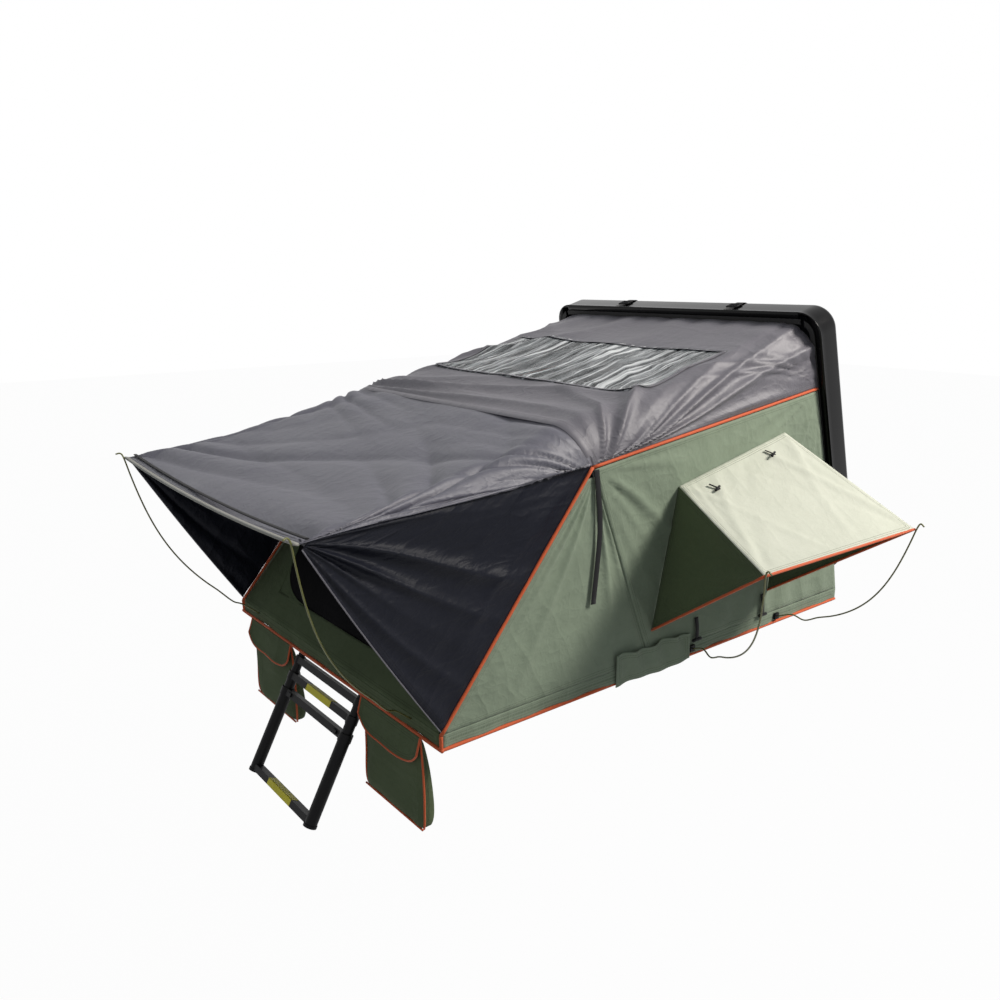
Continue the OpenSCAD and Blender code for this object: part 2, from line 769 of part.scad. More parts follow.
module panel_frame() {
    color(alloy) difference() {
        span([-half_w, panel_front, rail_h], [half_w, panel_back, z_floor]);
        span(
            [-half_w + frame_t, panel_front + frame_t, rail_h - 1],
            [half_w - frame_t, panel_back - frame_t, z_floor + 1]
        );
    }
}

module panel_keder_rails() {
    color(black) {
        both_sides() side_plate(half_w, hem_x - half_w - fabric_t / 2 - keder_lean - gap) polygon([
            [panel_front, z_floor - keder_h], [panel_back - 80, z_floor - keder_h],
            [panel_back - 80, z_floor], [panel_front, z_floor]
        ]);
        span([-half_w, skirt_y + fabric_t / 2 + gap, z_floor - keder_h], [half_w, panel_front, z_floor]);
    }
}

module mattress_front() {
    color(navy) mattress(panel_front + 20, fold_axis.y - 70);
}

// Bow, drawn upright in its plane and then leaned forward
bow_pin_d = 10;
bracket_t = 5;

module lean_bow() {
    translate(bow_axis) rotate([bow_lean, 0, 0]) children();
}

// Centre line of the bow, from one foot round to the other
bow_line = [
    for (side = [1, -1]) for (i = [0:9]) let (
        k = side > 0 ? i : 9 - i,
        a = max(0, k - 1) * 11.25
    ) k == 0
        ? bow_pt(side * bow_x, 18)
        : bow_pt(
            side * (bow_x - bow_bend + bow_bend * cos(a)), bow_len - bow_bend + bow_bend * sin(a)
        )
];

module main_bow() {
    color(alloy) {
        sweep(bow_line, bow_d, 20);
        both_sides() difference() {
            union() {
                lean_bow() translate([bow_x, 0, 0]) cylinder(h = 18, d = bow_d - 0.6);
                translate([bow_x - bow_d / 2, bow_axis.y, bow_axis.z]) rotate([0, 90, 0])
                    cylinder(h = bow_d, d = bow_d - 1);
            }
            translate([bow_x - bow_d, bow_axis.y, bow_axis.z]) rotate([0, 90, 0])
                cylinder(h = 2 * bow_d, d = bow_pin_d + 2 * run_fit);
        }
    }
}

module bow_brackets() {
    x = bow_x - bow_d / 2 - gap - bracket_t;
    color(steel) both_sides() difference() {
        union() {
            side_plate(x, bracket_t) {
                translate([bow_axis.y, bow_axis.z]) circle(r = 11);
                polygon([
                    [bow_axis.y - 11, bow_axis.z], [bow_axis.y + 11, bow_axis.z],
                    [bow_axis.y + 26, z_floor], [bow_axis.y - 26, z_floor]
                ]);
            }
            span([x - 3, bow_axis.y - 40, z_floor], [x + bracket_t, bow_axis.y + 28, z_floor + 5]);
        }
        translate([x - 1, bow_axis.y, bow_axis.z]) rotate([0, 90, 0])
            cylinder(h = bracket_t + 2, d = bow_pin_d + 2 * run_fit);
    }
}

module bow_pins() {
    color(alloy) both_sides() translate([bow_x - bow_d / 2 - bracket_t - 3, bow_axis.y, bow_axis.z])
        rotate([0, 90, 0]) {
            cylinder(h = bow_d + bracket_t + 3, d = bow_pin_d);
            cylinder(h = 3 - 2 * gap, d = bow_pin_d + 5);
        }
}

// Door end: an upright skirt, then a wall sloping back to the bow, open at the door
skirt_y = hem_y + 3;
function arch_in(g) = bow_arch(g) - [g * 40, 0, 46];
function front_low(g, z) = [g * (hem_x - 14), skirt_y, z];
function front_pt(f, g) = mix(front_low(g, z_floor + 4), arch_in(g * 0.97), f);

module front_wall() {
    across = [for (j = [0:12]) (j / 6 - 1) * 0.985];
    color(green) sheet(
        concat(
            [[for (g = across) front_low(g, hem_z + seam_gap)]],
            [for (i = [0:9]) [for (g = across) front_pt(0.985 * i / 9, g)]]
        ),
        fabric_t, [2, 9, 2, 10]
    );
}

module door_mesh() {
    color(black) sheet(
        [for (i = [0:8]) [for (j = [0:8])
            front_pt(0.985 / 9 - 0.012 + (0.985 * 7 / 9 + 0.024) * i / 8, -0.67 + 1.34 * j / 8)
                + [0, 5.4, -4.5]]],
        1
    );
}

module awning_roof() {
    color(grey) sheet(
        [for (i = [0:10]) [for (j = [0:16]) awning_pt(0.001 + 0.9975 * i / 10, j / 8 - 1)]],
        fabric_t
    );
}

// Black wing between the awning's side edge and the front seam
wing_hollow = 45;

module awning_wing(side) {
    function seam(g) = mix(bow_corner, front_corner, g);
    function wing_pt(f, g) =
        mix(seam(g), awning_corner, f)
        + unit(bow_corner - awning_corner) * wing_hollow * sin(180 * f) * g * g
        - [6 * sin(180 * f), 0, 0];
    color(navy) mirror([side < 0 ? 1 : 0, 0, 0]) sheet(
        [for (i = [0:8]) [for (j = [0:8])
            let (top = 0.027 + 0.045 * pow(i / 8, 4), g = mix(top, 0.982, j / 8))
                wing_pt(0.0104 + 0.0032 * g * g + 0.936 * i / 8, g)]],
        fabric_t
    );
}

module awning_wing_left() { awning_wing(-1); }
module awning_wing_right() { awning_wing(1); }

hem_d = 14;

module awning_hem() {
    color([0.75, 0.75, 0.72]) sweep(
        [for (j = [0:12]) hem_pt(j / 6 - 1) + [0, -hem_d / 2 + 1, 0]], hem_d
    );
}

awning_rod_d = 7;
awning_foot = [half_w - 140, skirt_y - fabric_t / 2, z_floor - 8];

module awning_rods() {
    color(steel) both_sides() sweep(
        bowed(
            awning_foot - [0, 2, 0],
            awning_corner + [-4, -hem_d - awning_rod_d / 2 + 0.6, 3], [0, -95, -60]
        ),
        awning_rod_d
    );
}

// Shoe bags under the front edge
bag_w = 360;
bag_d = 62;
bag_h = 330;

module shoe_bag(side) {
    x = side * (ladder_w / 2 + 40 + bag_w / 2);
    color(green) translate([x, hem_y + bag_d / 2 - 10, 0]) hull() {
        translate([0, 10 - bag_d / 2, hem_z - piping_d / 2 - 0.9]) cube([bag_w - 20, 12, 1], center = true);
        translate([0, 0, hem_z - 100]) cube([bag_w - 8, bag_d * 0.7, 4], center = true);
        translate([0, -2, hem_z - bag_h + 40]) cube([bag_w, bag_d, 20], center = true);
        translate([0, -2, hem_z - bag_h]) cube([bag_w - 24, bag_d * 0.6, 1], center = true);
    }
}

module shoe_bag_left() { shoe_bag(-1); }
module shoe_bag_right() { shoe_bag(1); }

// Telescopic ladder, drawn hanging and then leaned out. s runs down it from the pivot.
module lean_ladder() {
    translate(ladder_axis) rotate([-ladder_lean, 0, 0]) mirror([0, 0, 1]) children();
}

function tube_d(k) = stile_d - (3 - k) * stile_step;
function collar_s(k) = 46 + (k - 1) * rung_step;
ladder_pin_d = 10;

module stiles(s0, s1, d) {
    both_sides() translate([ladder_w / 2, 0, s0]) cylinder(h = s1 - s0, d = d);
}

module rung(s, depth) {
    span([-ladder_w / 2, -depth / 2, s - 12], [ladder_w / 2, depth / 2, s + 12]);
}

module ladder_section(k, bottom) {
    top = collar_s(k);
    end = bottom ? top + stile_l : top + stile_l - 22 - 4 * (3 - k);
    color(black) lean_ladder() difference() {
        union() {
            stiles(top - 13, end, tube_d(k));
            stiles(top - 13, top + 15, tube_d(k) + 5);
            rung(top, 30);
            if (bottom) {
                rung(end - 14, 34);
                stiles(end - 6, end + 4, tube_d(k) + 4);
            }
        }
        stiles(top - 14, bottom ? end - 30 : end + 1, tube_d(k) - 2 * stile_wall);
    }
}

module ladder_section_2() { ladder_section(1, false); }
module ladder_section_3() { ladder_section(2, false); }
module ladder_section_4() { ladder_section(3, true); }

module ladder_head() {
    color(black) difference() {
        lean_ladder() {
            stiles(-12, stile_l - 40, tube_d(0));
            rung(4, 22);
        }
        both_sides() translate([ladder_w / 2 - 30, ladder_axis.y, ladder_axis.z]) rotate([0, 90, 0])
            cylinder(h = 60, d = ladder_pin_d + 2 * run_fit);
    }
}

// Sliding release catches under the rung of the lowest section
button_travel = 8;

module ladder_button(side) {
    color(orange) lean_ladder() mirror([side < 0 ? 1 : 0, 0, 0]) span(
        [ladder_w / 2 - 62, -15 - 5, collar_s(3) - 6],
        [ladder_w / 2 - 62 + 26, -15 - gap, collar_s(3) + 6]
    );
}

module ladder_button_left() { ladder_button(-1); }
module ladder_button_right() { ladder_button(1); }

module ladder_bracket() {
    color(steel) both_sides() {
        x = ladder_w / 2 + stile_d / 2 + 4;
        translate([ladder_w / 2 - tube_d(0) / 2 - 2, ladder_axis.y, ladder_axis.z]) rotate([0, 90, 0])
            cylinder(h = tube_d(0) / 2 + stile_d / 2 + 8, d = ladder_pin_d);
        side_plate(x, 5) polygon([
            [ladder_axis.y - 9, ladder_axis.z - 9], [ladder_axis.y + 9, ladder_axis.z - 9],
            [panel_front + 60, rail_h], [panel_front + 1, rail_h], [ladder_axis.y - 9, ladder_axis.z + 9]
        ]);
        span([x, panel_front + 2, rail_h - 4], [x + 40, panel_front + 60, rail_h]);
    }
}

mounting_rails();
rail_bolts();
base_panel();
base_frame();
base_keder_rails();
mattress_rear();
lid_hinge_base_leaves();
lid_hinge_pins();
fold_hinge_base_plates();
fold_hinge_pins();
strut_base_brackets();
hood_rod_sockets();
lid_shell();
lid_seal();
lid_liner();
lid_hinge_lid_leaves();
strut_lid_brackets();
closing_straps();
strut_tube_left();
strut_tube_right();
strut_rod_left();
strut_rod_right();
side_wall_rear_left();
side_wall_rear_right();
roof_rear();
skylight();
piping_rear();
hinge_flaps();
window_meshes();
hood_left();
hood_right();
hood_rods_left();
hood_rods_right();
fold_panel();
panel_frame();
panel_keder_rails();
fold_hinge_panel_plates();
mattress_front();
bow_brackets();
bow_pins();
main_bow();
side_wall_front_left();
side_wall_front_right();
piping_front();
front_wall();
door_mesh();
awning_roof();
awning_wing_left();
awning_wing_right();
awning_hem();
awning_rods();
shoe_bag_left();
shoe_bag_right();
ladder_bracket();
ladder_head();
ladder_section_2();
ladder_section_3();
ladder_section_4();
ladder_button_left();
ladder_button_right();
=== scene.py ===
import bpy
import math
import numpy as np
from functools import reduce
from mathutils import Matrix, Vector, noise


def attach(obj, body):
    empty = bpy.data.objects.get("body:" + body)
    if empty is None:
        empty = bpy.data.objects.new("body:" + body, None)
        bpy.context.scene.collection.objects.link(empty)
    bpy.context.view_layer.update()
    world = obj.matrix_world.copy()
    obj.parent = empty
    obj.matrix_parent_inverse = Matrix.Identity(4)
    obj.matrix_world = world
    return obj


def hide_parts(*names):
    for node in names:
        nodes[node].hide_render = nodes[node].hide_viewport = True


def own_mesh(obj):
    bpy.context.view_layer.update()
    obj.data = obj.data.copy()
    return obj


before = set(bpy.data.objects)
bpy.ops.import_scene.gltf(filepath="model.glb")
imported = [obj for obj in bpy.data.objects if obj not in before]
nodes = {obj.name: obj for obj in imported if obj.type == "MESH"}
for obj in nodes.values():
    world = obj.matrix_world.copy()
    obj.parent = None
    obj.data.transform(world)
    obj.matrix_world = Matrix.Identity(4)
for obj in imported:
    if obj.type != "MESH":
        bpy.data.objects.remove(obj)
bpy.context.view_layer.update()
print("frame loaded:", len(nodes), "nodes")

# sizes shared with the solids, in metres and degrees
tent = {
    "halfWidth": 0.700, "hemX": 0.720, "hemY": -1.500, "hemZ": 0.015, "floorZ": 0.060, "skirtTop": 0.062,
    "lidAxis": (0.563, 0.130), "lidOpen": 73.0,
    "bowAxis": (-0.640, 0.115), "bowLean": 21.7, "bowTop": 0.8548,
    "archHalf": 0.710, "archBend": 0.126, "archLow": 0.716,
    "roofTop": 1.104, "roofHalf": 0.707, "roofLow": 0.844, "roofInset": 0.0032,
    "wallLean": 0.8, "awningHalf": 0.699, "awningY": -1.902, "awningZ": 0.715, "awningSag": 0.022,
}
hemX, hemY, hemZ, floorZ, skirtTop = (tent[k] for k in ("hemX", "hemY", "hemZ", "floorZ", "skirtTop"))
edgeNames = ("edgeDist", "edgeRun")


def srgb(code):
    parts = [int(code[k:k + 2], 16) / 255 for k in (0, 2, 4)]
    return tuple(c / 12.92 if c <= 0.04045 else ((c + 0.055) / 1.055) ** 2.4 for c in parts) + (1.0,)


# shader nodes

class wire:  # a node's output that takes part in sums
    def __init__(self, socket):
        self.socket = socket

    def calc(self, operation, other=0.0, swap=False):
        pair = (other, self) if swap else (self, other)
        return addNode(self.socket.id_data, "Math", dict(enumerate(pair)), 0, operation=operation)

    def __add__(self, other):
        return self.calc("ADD", other)

    def __sub__(self, other):
        return self.calc("SUBTRACT", other)

    def __rsub__(self, other):
        return self.calc("SUBTRACT", other, True)

    def __mul__(self, other):
        return self.calc("MULTIPLY", other)

    def __truediv__(self, other):
        return self.calc("DIVIDE", other)

    def limit(self):
        return self.calc("MAXIMUM", 0.0).calc("MINIMUM", 1.0)


def plug(node, inputs):
    for label, value in inputs.items():
        if isinstance(value, wire):
            node.id_data.links.new(value.socket, node.inputs[label])
        else:
            node.inputs[label].default_value = value


def addNode(tree, kind, inputs, out=None, **settings):
    node = tree.nodes.new("ShaderNode" + kind)
    for label, value in settings.items():
        setattr(node, label, value)
    plug(node, inputs)
    return node if out is None else wire(node.outputs[out])


def cloud(tree, vector, scale, detail=3.0, rough=0.55):
    inputs = {"Vector": vector, "Scale": scale, "Detail": detail, "Roughness": rough}
    return addNode(tree, "TexNoise", inputs, "Fac")


def turned(tree, vector, turn, stretch):
    inputs = {"Vector": vector, "Rotation": (0.0, 0.0, turn), "Scale": stretch}
    return addNode(tree, "Mapping", inputs, "Vector")


def mixColour(tree, share, first, second):
    return addNode(tree, "Mix", {0: share, 6: first, 7: second}, 2, data_type="RGBA")


def startGroup(name, inputs, outputs):
    group = bpy.data.node_groups.new(name, "ShaderNodeTree")
    for label, value in inputs.items():
        kind = "NodeSocketColor" if isinstance(value, tuple) else "NodeSocketFloat"
        group.interface.new_socket(label, in_out="INPUT", socket_type=kind).default_value = value
    for label in outputs:
        kind = "NodeSocketColor" if label == "Colour" else "NodeSocketFloat"
        group.interface.new_socket(label, in_out="OUTPUT", socket_type=kind)
    entry, leave = group.nodes.new("NodeGroupInput"), group.nodes.new("NodeGroupOutput")
    return group, lambda label: wire(entry.outputs[label]), lambda results: plug(leave, results)


def makeWeaveGroup():  # plain weave from the cut's own run of threads
    group, take, give = startGroup("threadWeave", {"Threads": 900.0}, ("Height", "Tone"))
    uv = addNode(group, "TexCoord", {}, "UV")
    split = addNode(group, "SeparateXYZ", {0: uv})
    warp, weft = ((wire(split.outputs[k]) * take("Threads")).calc("SINE") for k in (0, 1))
    height = warp * weft * 0.5 + 0.5
    slub = cloud(group, uv, 60.0, 4.0)
    give({"Height": height, "Tone": height * 0.5 + slub * 0.5})
    return group


def makeMottleGroup():  # uneven dye and dust
    inputs = {"Colour": (1, 1, 1, 1), "Second": (0, 0, 0, 1), "Scale": 3.0, "Tone": 0.5}
    group, take, give = startGroup("dyeMottle", inputs, ("Colour", "Mask"))
    place = addNode(group, "TexCoord", {}, "Object")
    broad = cloud(group, place, take("Scale"), 5.0)
    fine = cloud(group, place, 55.0, 4.0)
    blend = broad * 0.6 + (fine + take("Tone")) * 0.2
    mask = ((blend - 0.3) * 2.4).calc("MAXIMUM", 0.0).calc("SMOOTH_MIN", 1.0)
    give({"Colour": mixColour(group, mask, take("Colour"), take("Second")), "Mask": mask})
    return group


def makeStitchGroup():  # twin rows of stitches a little way in from a cut edge
    look = {"rows": (0.0, 0.008), "halfThread": 0.0012, "stitchShare": 0.62, "hemWidth": 0.024}
    group, take, give = startGroup("seamStitch", {"Inset": 0.012, "Pitch": 0.006}, ("Mask", "Fold"))
    edge, run = (addNode(group, "Attribute", {}, "Fac", attribute_name=name) for name in edgeNames)
    near, far = ((edge - step - take("Inset")).calc("ABSOLUTE").calc("LESS_THAN", look["halfThread"])
                 for step in look["rows"])
    dash = (run / take("Pitch")).calc("FRACT").calc("LESS_THAN", look["stitchShare"])
    give({"Mask": near.calc("MAXIMUM", far) * dash, "Fold": edge.calc("LESS_THAN", look["hemWidth"])})
    return group


def makeCreaseGroup():  # short sharp creases of a sheet that has been packed away
    layers = (  # scale, stretch, turn, share
        (1.0, (1.0, 0.35, 1.0), 0.5, 0.6),
        (1.7, (0.4, 1.0, 1.0), -0.4, 0.4),
        (4.0, (1.0, 0.8, 1.0), 1.1, 0.16),
    )
    group, take, give = startGroup("packedCrease", {"Scale": 7.0}, ("Height",))
    uv = addNode(group, "TexCoord", {}, "UV")
    total = 0.0
    for scale, stretch, turn, share in layers:
        field = cloud(group, turned(group, uv, turn, stretch), take("Scale") * scale, 2.5, 0.5)
        away = ((field - 0.5).calc("ABSOLUTE") * 4.0).calc("MINIMUM", 1.0)
        total = (1.0 - away).calc("POWER", 2.2) * share + total
    give({"Height": total})
    return group


def makeSmudgeGroup():  # handling marks on hard pieces
    inputs = {"Low": 0.25, "High": 0.5, "Scale": 14.0}
    group, take, give = startGroup("handlingMarks", inputs, ("Roughness", "Height"))
    place = addNode(group, "TexCoord", {}, "Object")
    marks = cloud(group, place, take("Scale"), 6.0, 0.65)
    grain = cloud(group, place, 420.0, 2.0)
    rough = take("Low") + (take("High") - take("Low")) * marks
    give({"Roughness": rough, "Height": marks * 0.6 + grain * 0.4})
    return group


weaveGroup = makeWeaveGroup()
mottleGroup = makeMottleGroup()
stitchGroup = makeStitchGroup()
creaseGroup = makeCreaseGroup()
smudgeGroup = makeSmudgeGroup()


def addGroup(tree, group, **values):
    outputs = addNode(tree, "Group", values, node_tree=group).outputs
    return {socket.name: wire(socket) for socket in outputs}


def startMaterial(name):
    material = bpy.data.materials.new(name)
    material.use_nodes = True
    return material, material.node_tree, material.node_tree.nodes["Principled BSDF"]


def addBump(target, height, strength, distance):
    inputs = {"Height": height, "Strength": strength, "Distance": distance}
    bump = addNode(target.id_data, "Bump", inputs)
    plug(target, {"Normal": wire(bump.outputs["Normal"])})
    return bump


# colour, second colour, thread, roughness, threads, sheen, shine, depth of creases
clothLooks = {
    "wallCanvas": ("8c9a86", "7e8b78", "6c7966", 0.86, 5200, 0.1, 0.22, 0.0045),
    # painted light: a much lighter copy of the sage wall canvas, for the hood tops that face the key lamp
    "paintedLightHoodCanvas": ("d6d9cb", "c8ccbc", "8b907f", 0.85, 5200, 0.1, 0.22, 0.003),
    # painted shade: a darker copy of the sage wall canvas, for the door end, front skirt, hood sides, shoe
    # bags and left hinge flap that face away from the lamps
    "paintedShadeCanvas": ("5f6c4f", "546046", "465039", 0.88, 5200, 0.05, 0.15, 0.0045),
    "flyCloth": ("5a575f", "4a4852", "343238", 0.56, 7000, 0.05, 0.95, 0.0045),
    "awningCloth": ("50505b", "424150", "343238", 0.54, 7000, 0.05, 0.95, 0.0045),
    "wingCloth": ("1b1d27", "15171f", "0e0e12", 0.45, 7000, 0.0, 0.12, 0.006),
    "hemWebbing": ("b3b2ab", "9a9992", "85847d", 0.8, 3200, 0.1, 0.3, 0.0),
    "orangePiping": ("d9653a", "c5562e", "a23d1a", 0.62, 4200, 0.1, 0.3, 0.0),
    "blackWebbing": ("17171a", "101012", "222226", 0.75, 2600, 0.1, 0.2, 0.0),
    "mattressCover": ("565b63", "484d55", "3c4047", 0.88, 3800, 0.2, 0.3, 0.003),
    "insectMesh": ("0d0d0f", "08080a", "0a0a0c", 0.9, 2400, 0.0, 0.1, 0.002),
}


def makeCloth(name, colour, second, thread, rough, threads, sheen, shine, crease):
    material, tree, shader = startMaterial(name)
    weave = addGroup(tree, weaveGroup, Threads=float(threads))
    dyes = {"Colour": srgb(colour), "Second": srgb(second)}
    mottle = addGroup(tree, mottleGroup, **dyes, Scale=2.6, Tone=weave["Tone"])
    stitch = addGroup(tree, stitchGroup)
    plug(shader, {
        "Base Color": mixColour(tree, stitch["Mask"], mottle["Colour"], srgb(thread)),
        "Roughness": mottle["Mask"] * 0.08 + (rough - 0.04),
        "Sheen Weight": sheen,
        "Specular IOR Level": shine,
    })
    fine = addBump(shader, weave["Height"] * 0.35 + (stitch["Fold"] - stitch["Mask"] * 0.8), 0.35, 0.0008)
    if crease > 0:
        addBump(fine, addGroup(tree, creaseGroup, Scale=6.0)["Height"], 0.75, crease)
    return material


cloth = {name: makeCloth(name, *look) for name, look in clothLooks.items()}

# colour, metal, lowest and highest roughness, coat, bump, shine
hardLooks = {
    "shellGloss": ("060607", 0.0, 0.08, 0.18, 0.0, 0.04, 0.14),
    "rubberSeal": ("101011", 0.0, 0.62, 0.8, 0.0, 0.15, 0.5),
    "blackTrim": ("121214", 0.0, 0.45, 0.62, 0.0, 0.12, 0.15),
    "rimAlloy": ("b4b6ba", 1.0, 0.3, 0.48, 0.0, 0.08, 0.5),
    "plainSteel": ("7d7f84", 1.0, 0.28, 0.46, 0.0, 0.08, 0.5),
    "strutChrome": ("c9cbd0", 1.0, 0.06, 0.16, 0.0, 0.02, 0.5),
    "strutPaint": ("111113", 0.0, 0.22, 0.4, 0.3, 0.05, 0.5),
    "ladderAlloy": ("0e0e10", 0.0, 0.38, 0.55, 0.0, 0.1, 0.12),
    "springRod": ("6a6c34", 0.0, 0.35, 0.55, 0.1, 0.05, 0.5),
    "floorBoard": ("3a3a3c", 0.0, 0.55, 0.72, 0.0, 0.2, 0.5),
    "warningTape": ("ece02a", 0.0, 0.42, 0.6, 0.0, 0.1, 0.5),
}


def makeHard(name, colour, metal, low, high, coat, bump, shine):
    material, tree, shader = startMaterial(name)
    smudge = addGroup(tree, smudgeGroup, Low=low, High=high)
    base = srgb(colour)
    worn = tuple(c * 0.8 for c in base[:3]) + (1,)
    plug(shader, {
        "Base Color": addGroup(tree, mottleGroup, Colour=base, Second=worn, Scale=9.0)["Colour"],
        "Roughness": smudge["Roughness"],
        "Metallic": metal,
        "Coat Weight": coat,
        "Specular IOR Level": shine,
    })
    addBump(shader, smudge["Height"], bump, 0.0006)
    return material


hard = {name: makeHard(name, *look) for name, look in hardLooks.items()}

filmLook = {
    # painted reflection: colours of the crinkle streaks from dark to bright, and how opaque the bright
    # streaks are
    "tones": ((0.43, "2c2f33"), (0.52, "8b9194"), (0.60, "eef1f2")),
    "along": 1.1, "across": 30.0, "clear": 0.3, "paintedReflectionCover": 0.95, "shine": 0.6,
}


def makeFilm():  # crinkled clear roof window, streaked along the tent
    material, tree, shader = startMaterial("clearFilm")
    uv = addNode(tree, "TexCoord", {}, "UV")
    along, across, clear = (filmLook[k] for k in ("along", "across", "clear"))
    broad = cloud(tree, turned(tree, uv, 0.22, (along, across, 1.0)), 1.0, 3.0, 0.6)
    fine = cloud(tree, turned(tree, uv, -0.3, (2.2 * along, 1.5 * across, 1.0)), 1.0, 3.0, 0.7)
    crease = broad * 0.6 + fine * 0.4
    # painted reflection: the crinkle field picks a streak colour from dark to bright in place of reflections
    # in the film
    ramp = addNode(tree, "ValToRGB", {"Fac": crease})
    stops = ramp.color_ramp.elements
    for k, (place, code) in enumerate(filmLook["tones"]):
        stop = stops[k] if k < 2 else stops.new(place)
        stop.position = place
        stop.color = srgb(code)
    plug(shader, {
        "Base Color": wire(ramp.outputs["Color"]),
        "Roughness": addGroup(tree, smudgeGroup, Low=0.06, High=0.2, Scale=9.0)["Roughness"],
        # painted reflection: the film turns more opaque where its streaks are painted bright
        "Alpha": ((crease - 0.42) * 6.0).limit() * (filmLook["paintedReflectionCover"] - clear) + clear,
        "Specular IOR Level": filmLook["shine"],
    })
    addBump(shader, crease, 0.5, 0.008)
    return material


clearFilm = makeFilm()
print("materials made")


# mesh helpers

def makeObject(name, verts, faces, material, uvs=None, edges=None, smooth=True):
    mesh = bpy.data.meshes.new(name)
    mesh.from_pydata([tuple(v) for v in verts], [], faces)
    mesh.validate()
    if uvs is not None:
        loopVerts = np.zeros(len(mesh.loops), dtype=np.int32)
        mesh.loops.foreach_get("vertex_index", loopVerts)
        layer = mesh.uv_layers.new(name="cut")
        layer.data.foreach_set("uv", np.asarray(uvs, dtype=np.float32)[loopVerts].ravel())
        edges = edges or (np.ones(len(verts)), np.zeros(len(verts)))
        for label, values in zip(edgeNames, edges):
            marks = mesh.attributes.new(label, "FLOAT", "POINT")
            marks.data.foreach_set("value", np.asarray(values, dtype=np.float32))
    mesh.polygons.foreach_set("use_smooth", [smooth] * len(mesh.polygons))
    mesh.materials.append(material)
    mesh.update()
    piece = bpy.data.objects.new(name, mesh)
    bpy.context.scene.collection.objects.link(piece)
    return piece


def mix(a, b, f):
    return np.asarray(a) + (np.asarray(b) - np.asarray(a)) * f


def quad(a, b, c, d, u, v):  # a to b along the near edge, c to d along the far one
    u, v = np.asarray(u)[..., None], np.asarray(v)[..., None]
    return mix(mix(a, b, u), mix(c, d, u), v)


def grid(across, down):
    return np.meshgrid(np.linspace(*across), np.linspace(*down))


def runStops(*runs):  # runs of (start, end, count) one after another
    return np.concatenate([np.linspace(*run)[:-1] for run in runs] + [[runs[-1][1]]])


def fadeIn(*shares):  # 0 at the nearest edge, 1 once clear of it
    return np.clip(reduce(np.minimum, shares), 0, 1)


def rimFade(u, v, width):
    return fadeIn(u / width, (1 - u) / width, v / width, (1 - v) / width)


def gridNormals(p):
    n = np.cross(np.gradient(p, axis=1), np.gradient(p, axis=0))
    return n / np.maximum(np.linalg.norm(n, axis=2, keepdims=True), 1e-9)


def raised(p, height):  # points moved off the cloth's face
    return p + gridNormals(p) * height[..., None]


def softNoise(p, scale, seed=0.0):
    flat = p.reshape(-1, 3) * scale + seed
    return np.array([noise.noise(Vector(q)) for q in flat]).reshape(p.shape[:2])


def rumple(p, *layers):  # layers of (height, scale, seed)
    return sum(height * softNoise(p, scale, seed) for height, scale, seed in layers)


def pullFan(away, turn, fan, side=0):  # folds that run out from a pulled corner
    count, reach, height, seed = fan
    seed = seed + side
    sway = 1.1 * np.sin(turn * 5.3 + seed * 3.0) + 0.9 * np.sin(away * 4.0 + turn * 3.0 + seed)
    crest = (1 - np.abs(np.sin(turn * count + seed + sway))) ** 1.3
    grow = np.clip(away / (0.16 * reach), 0, 1) * np.clip(1 - away / reach, 0, 1) ** 1.1
    uneven = 0.55 + 0.45 * np.sin(turn * 9.1 + seed * 2.0 + 1.0 + 2.0 * away)
    return height * (crest - 0.3) * grow * uneven


def cornerFan(along, across, fan, side=0):
    return pullFan(np.hypot(along, across), np.arctan2(across, along), fan, side)


def ridge(p, a, b, width, height, ends=0.08):  # one pulled fold from a to b
    line = np.asarray(b) - a
    t = np.clip(((p - a) @ line) / (line @ line), 0, 1)
    away = np.linalg.norm(p - (a + t[..., None] * line), axis=2)
    fade = np.clip(t / ends, 0, 1) * np.clip((1 - t) / (ends * 3), 0, 1)
    return height * np.exp(-(away / width) ** 2) * fade


def facing(p, side):  # rows turned so that the cloth's face points out
    return p[::-1] if side > 0 else p


def toSide(p, side):  # a sheet drawn on the right, put on its own side
    return facing(p * np.array([side, 1, 1]), side)


def onBothSides(make):
    for side, label in ((-1, "Left"), (1, "Right")):
        make(side, label)


def cutOut(fs, gs, low, high, half):  # cells of a grid outside its opening
    fm, gm = (fs[:-1] + fs[1:]) / 2, (gs[:-1] + gs[1:]) / 2
    return ~(((fm > low) & (fm < high))[:, None] & (np.abs(gm) < half)[None, :])


def turnedOver(face):  # seen from behind, and split along the same diagonal
    return face[:1] + face[:0:-1]


def slabFaces(rows, cols, kept=None):  # front, back and rims of a sheet with two layers of points
    def there(i, j):
        return 0 <= i < rows - 1 and 0 <= j < cols - 1 and (kept is None or kept[i, j])

    faces, size = [], rows * cols
    for i, j in np.ndindex(rows - 1, cols - 1):
        if not there(i, j):
            continue
        a, d = i * cols + j, (i + 1) * cols + j
        front = (a, a + 1, d + 1, d)
        faces += [front, tuple(k + size for k in turnedOver(front))]
        beyond = ((i - 1, j), (i, j + 1), (i + 1, j), (i, j - 1))
        for cell, s, e in zip(beyond, front, front[1:] + front[:1]):
            if not there(*cell):
                faces.append((e, s, s + size, e + size))
    return faces


def loftFaces(rows, count, start=0, wrap=True):  # quads between rings of points
    faces = []
    for i in range(rows - 1):
        near, far = start + i * count, start + (i + 1) * count
        for s in range(count if wrap else count - 1):
            e = (s + 1) % count
            faces.append((near + s, near + e, far + e, far + s))
    return faces


def joinParts(parts):  # several (verts, faces, ...) as one
    faces, start = [], 0
    for part in parts:
        faces += [tuple(k + start for k in face) for face in part[1]]
        start += len(part[0])
    verts, _, uvs, *edges = zip(*parts)
    return np.concatenate(verts), faces, np.concatenate(uvs), [np.concatenate(rows) for rows in edges]


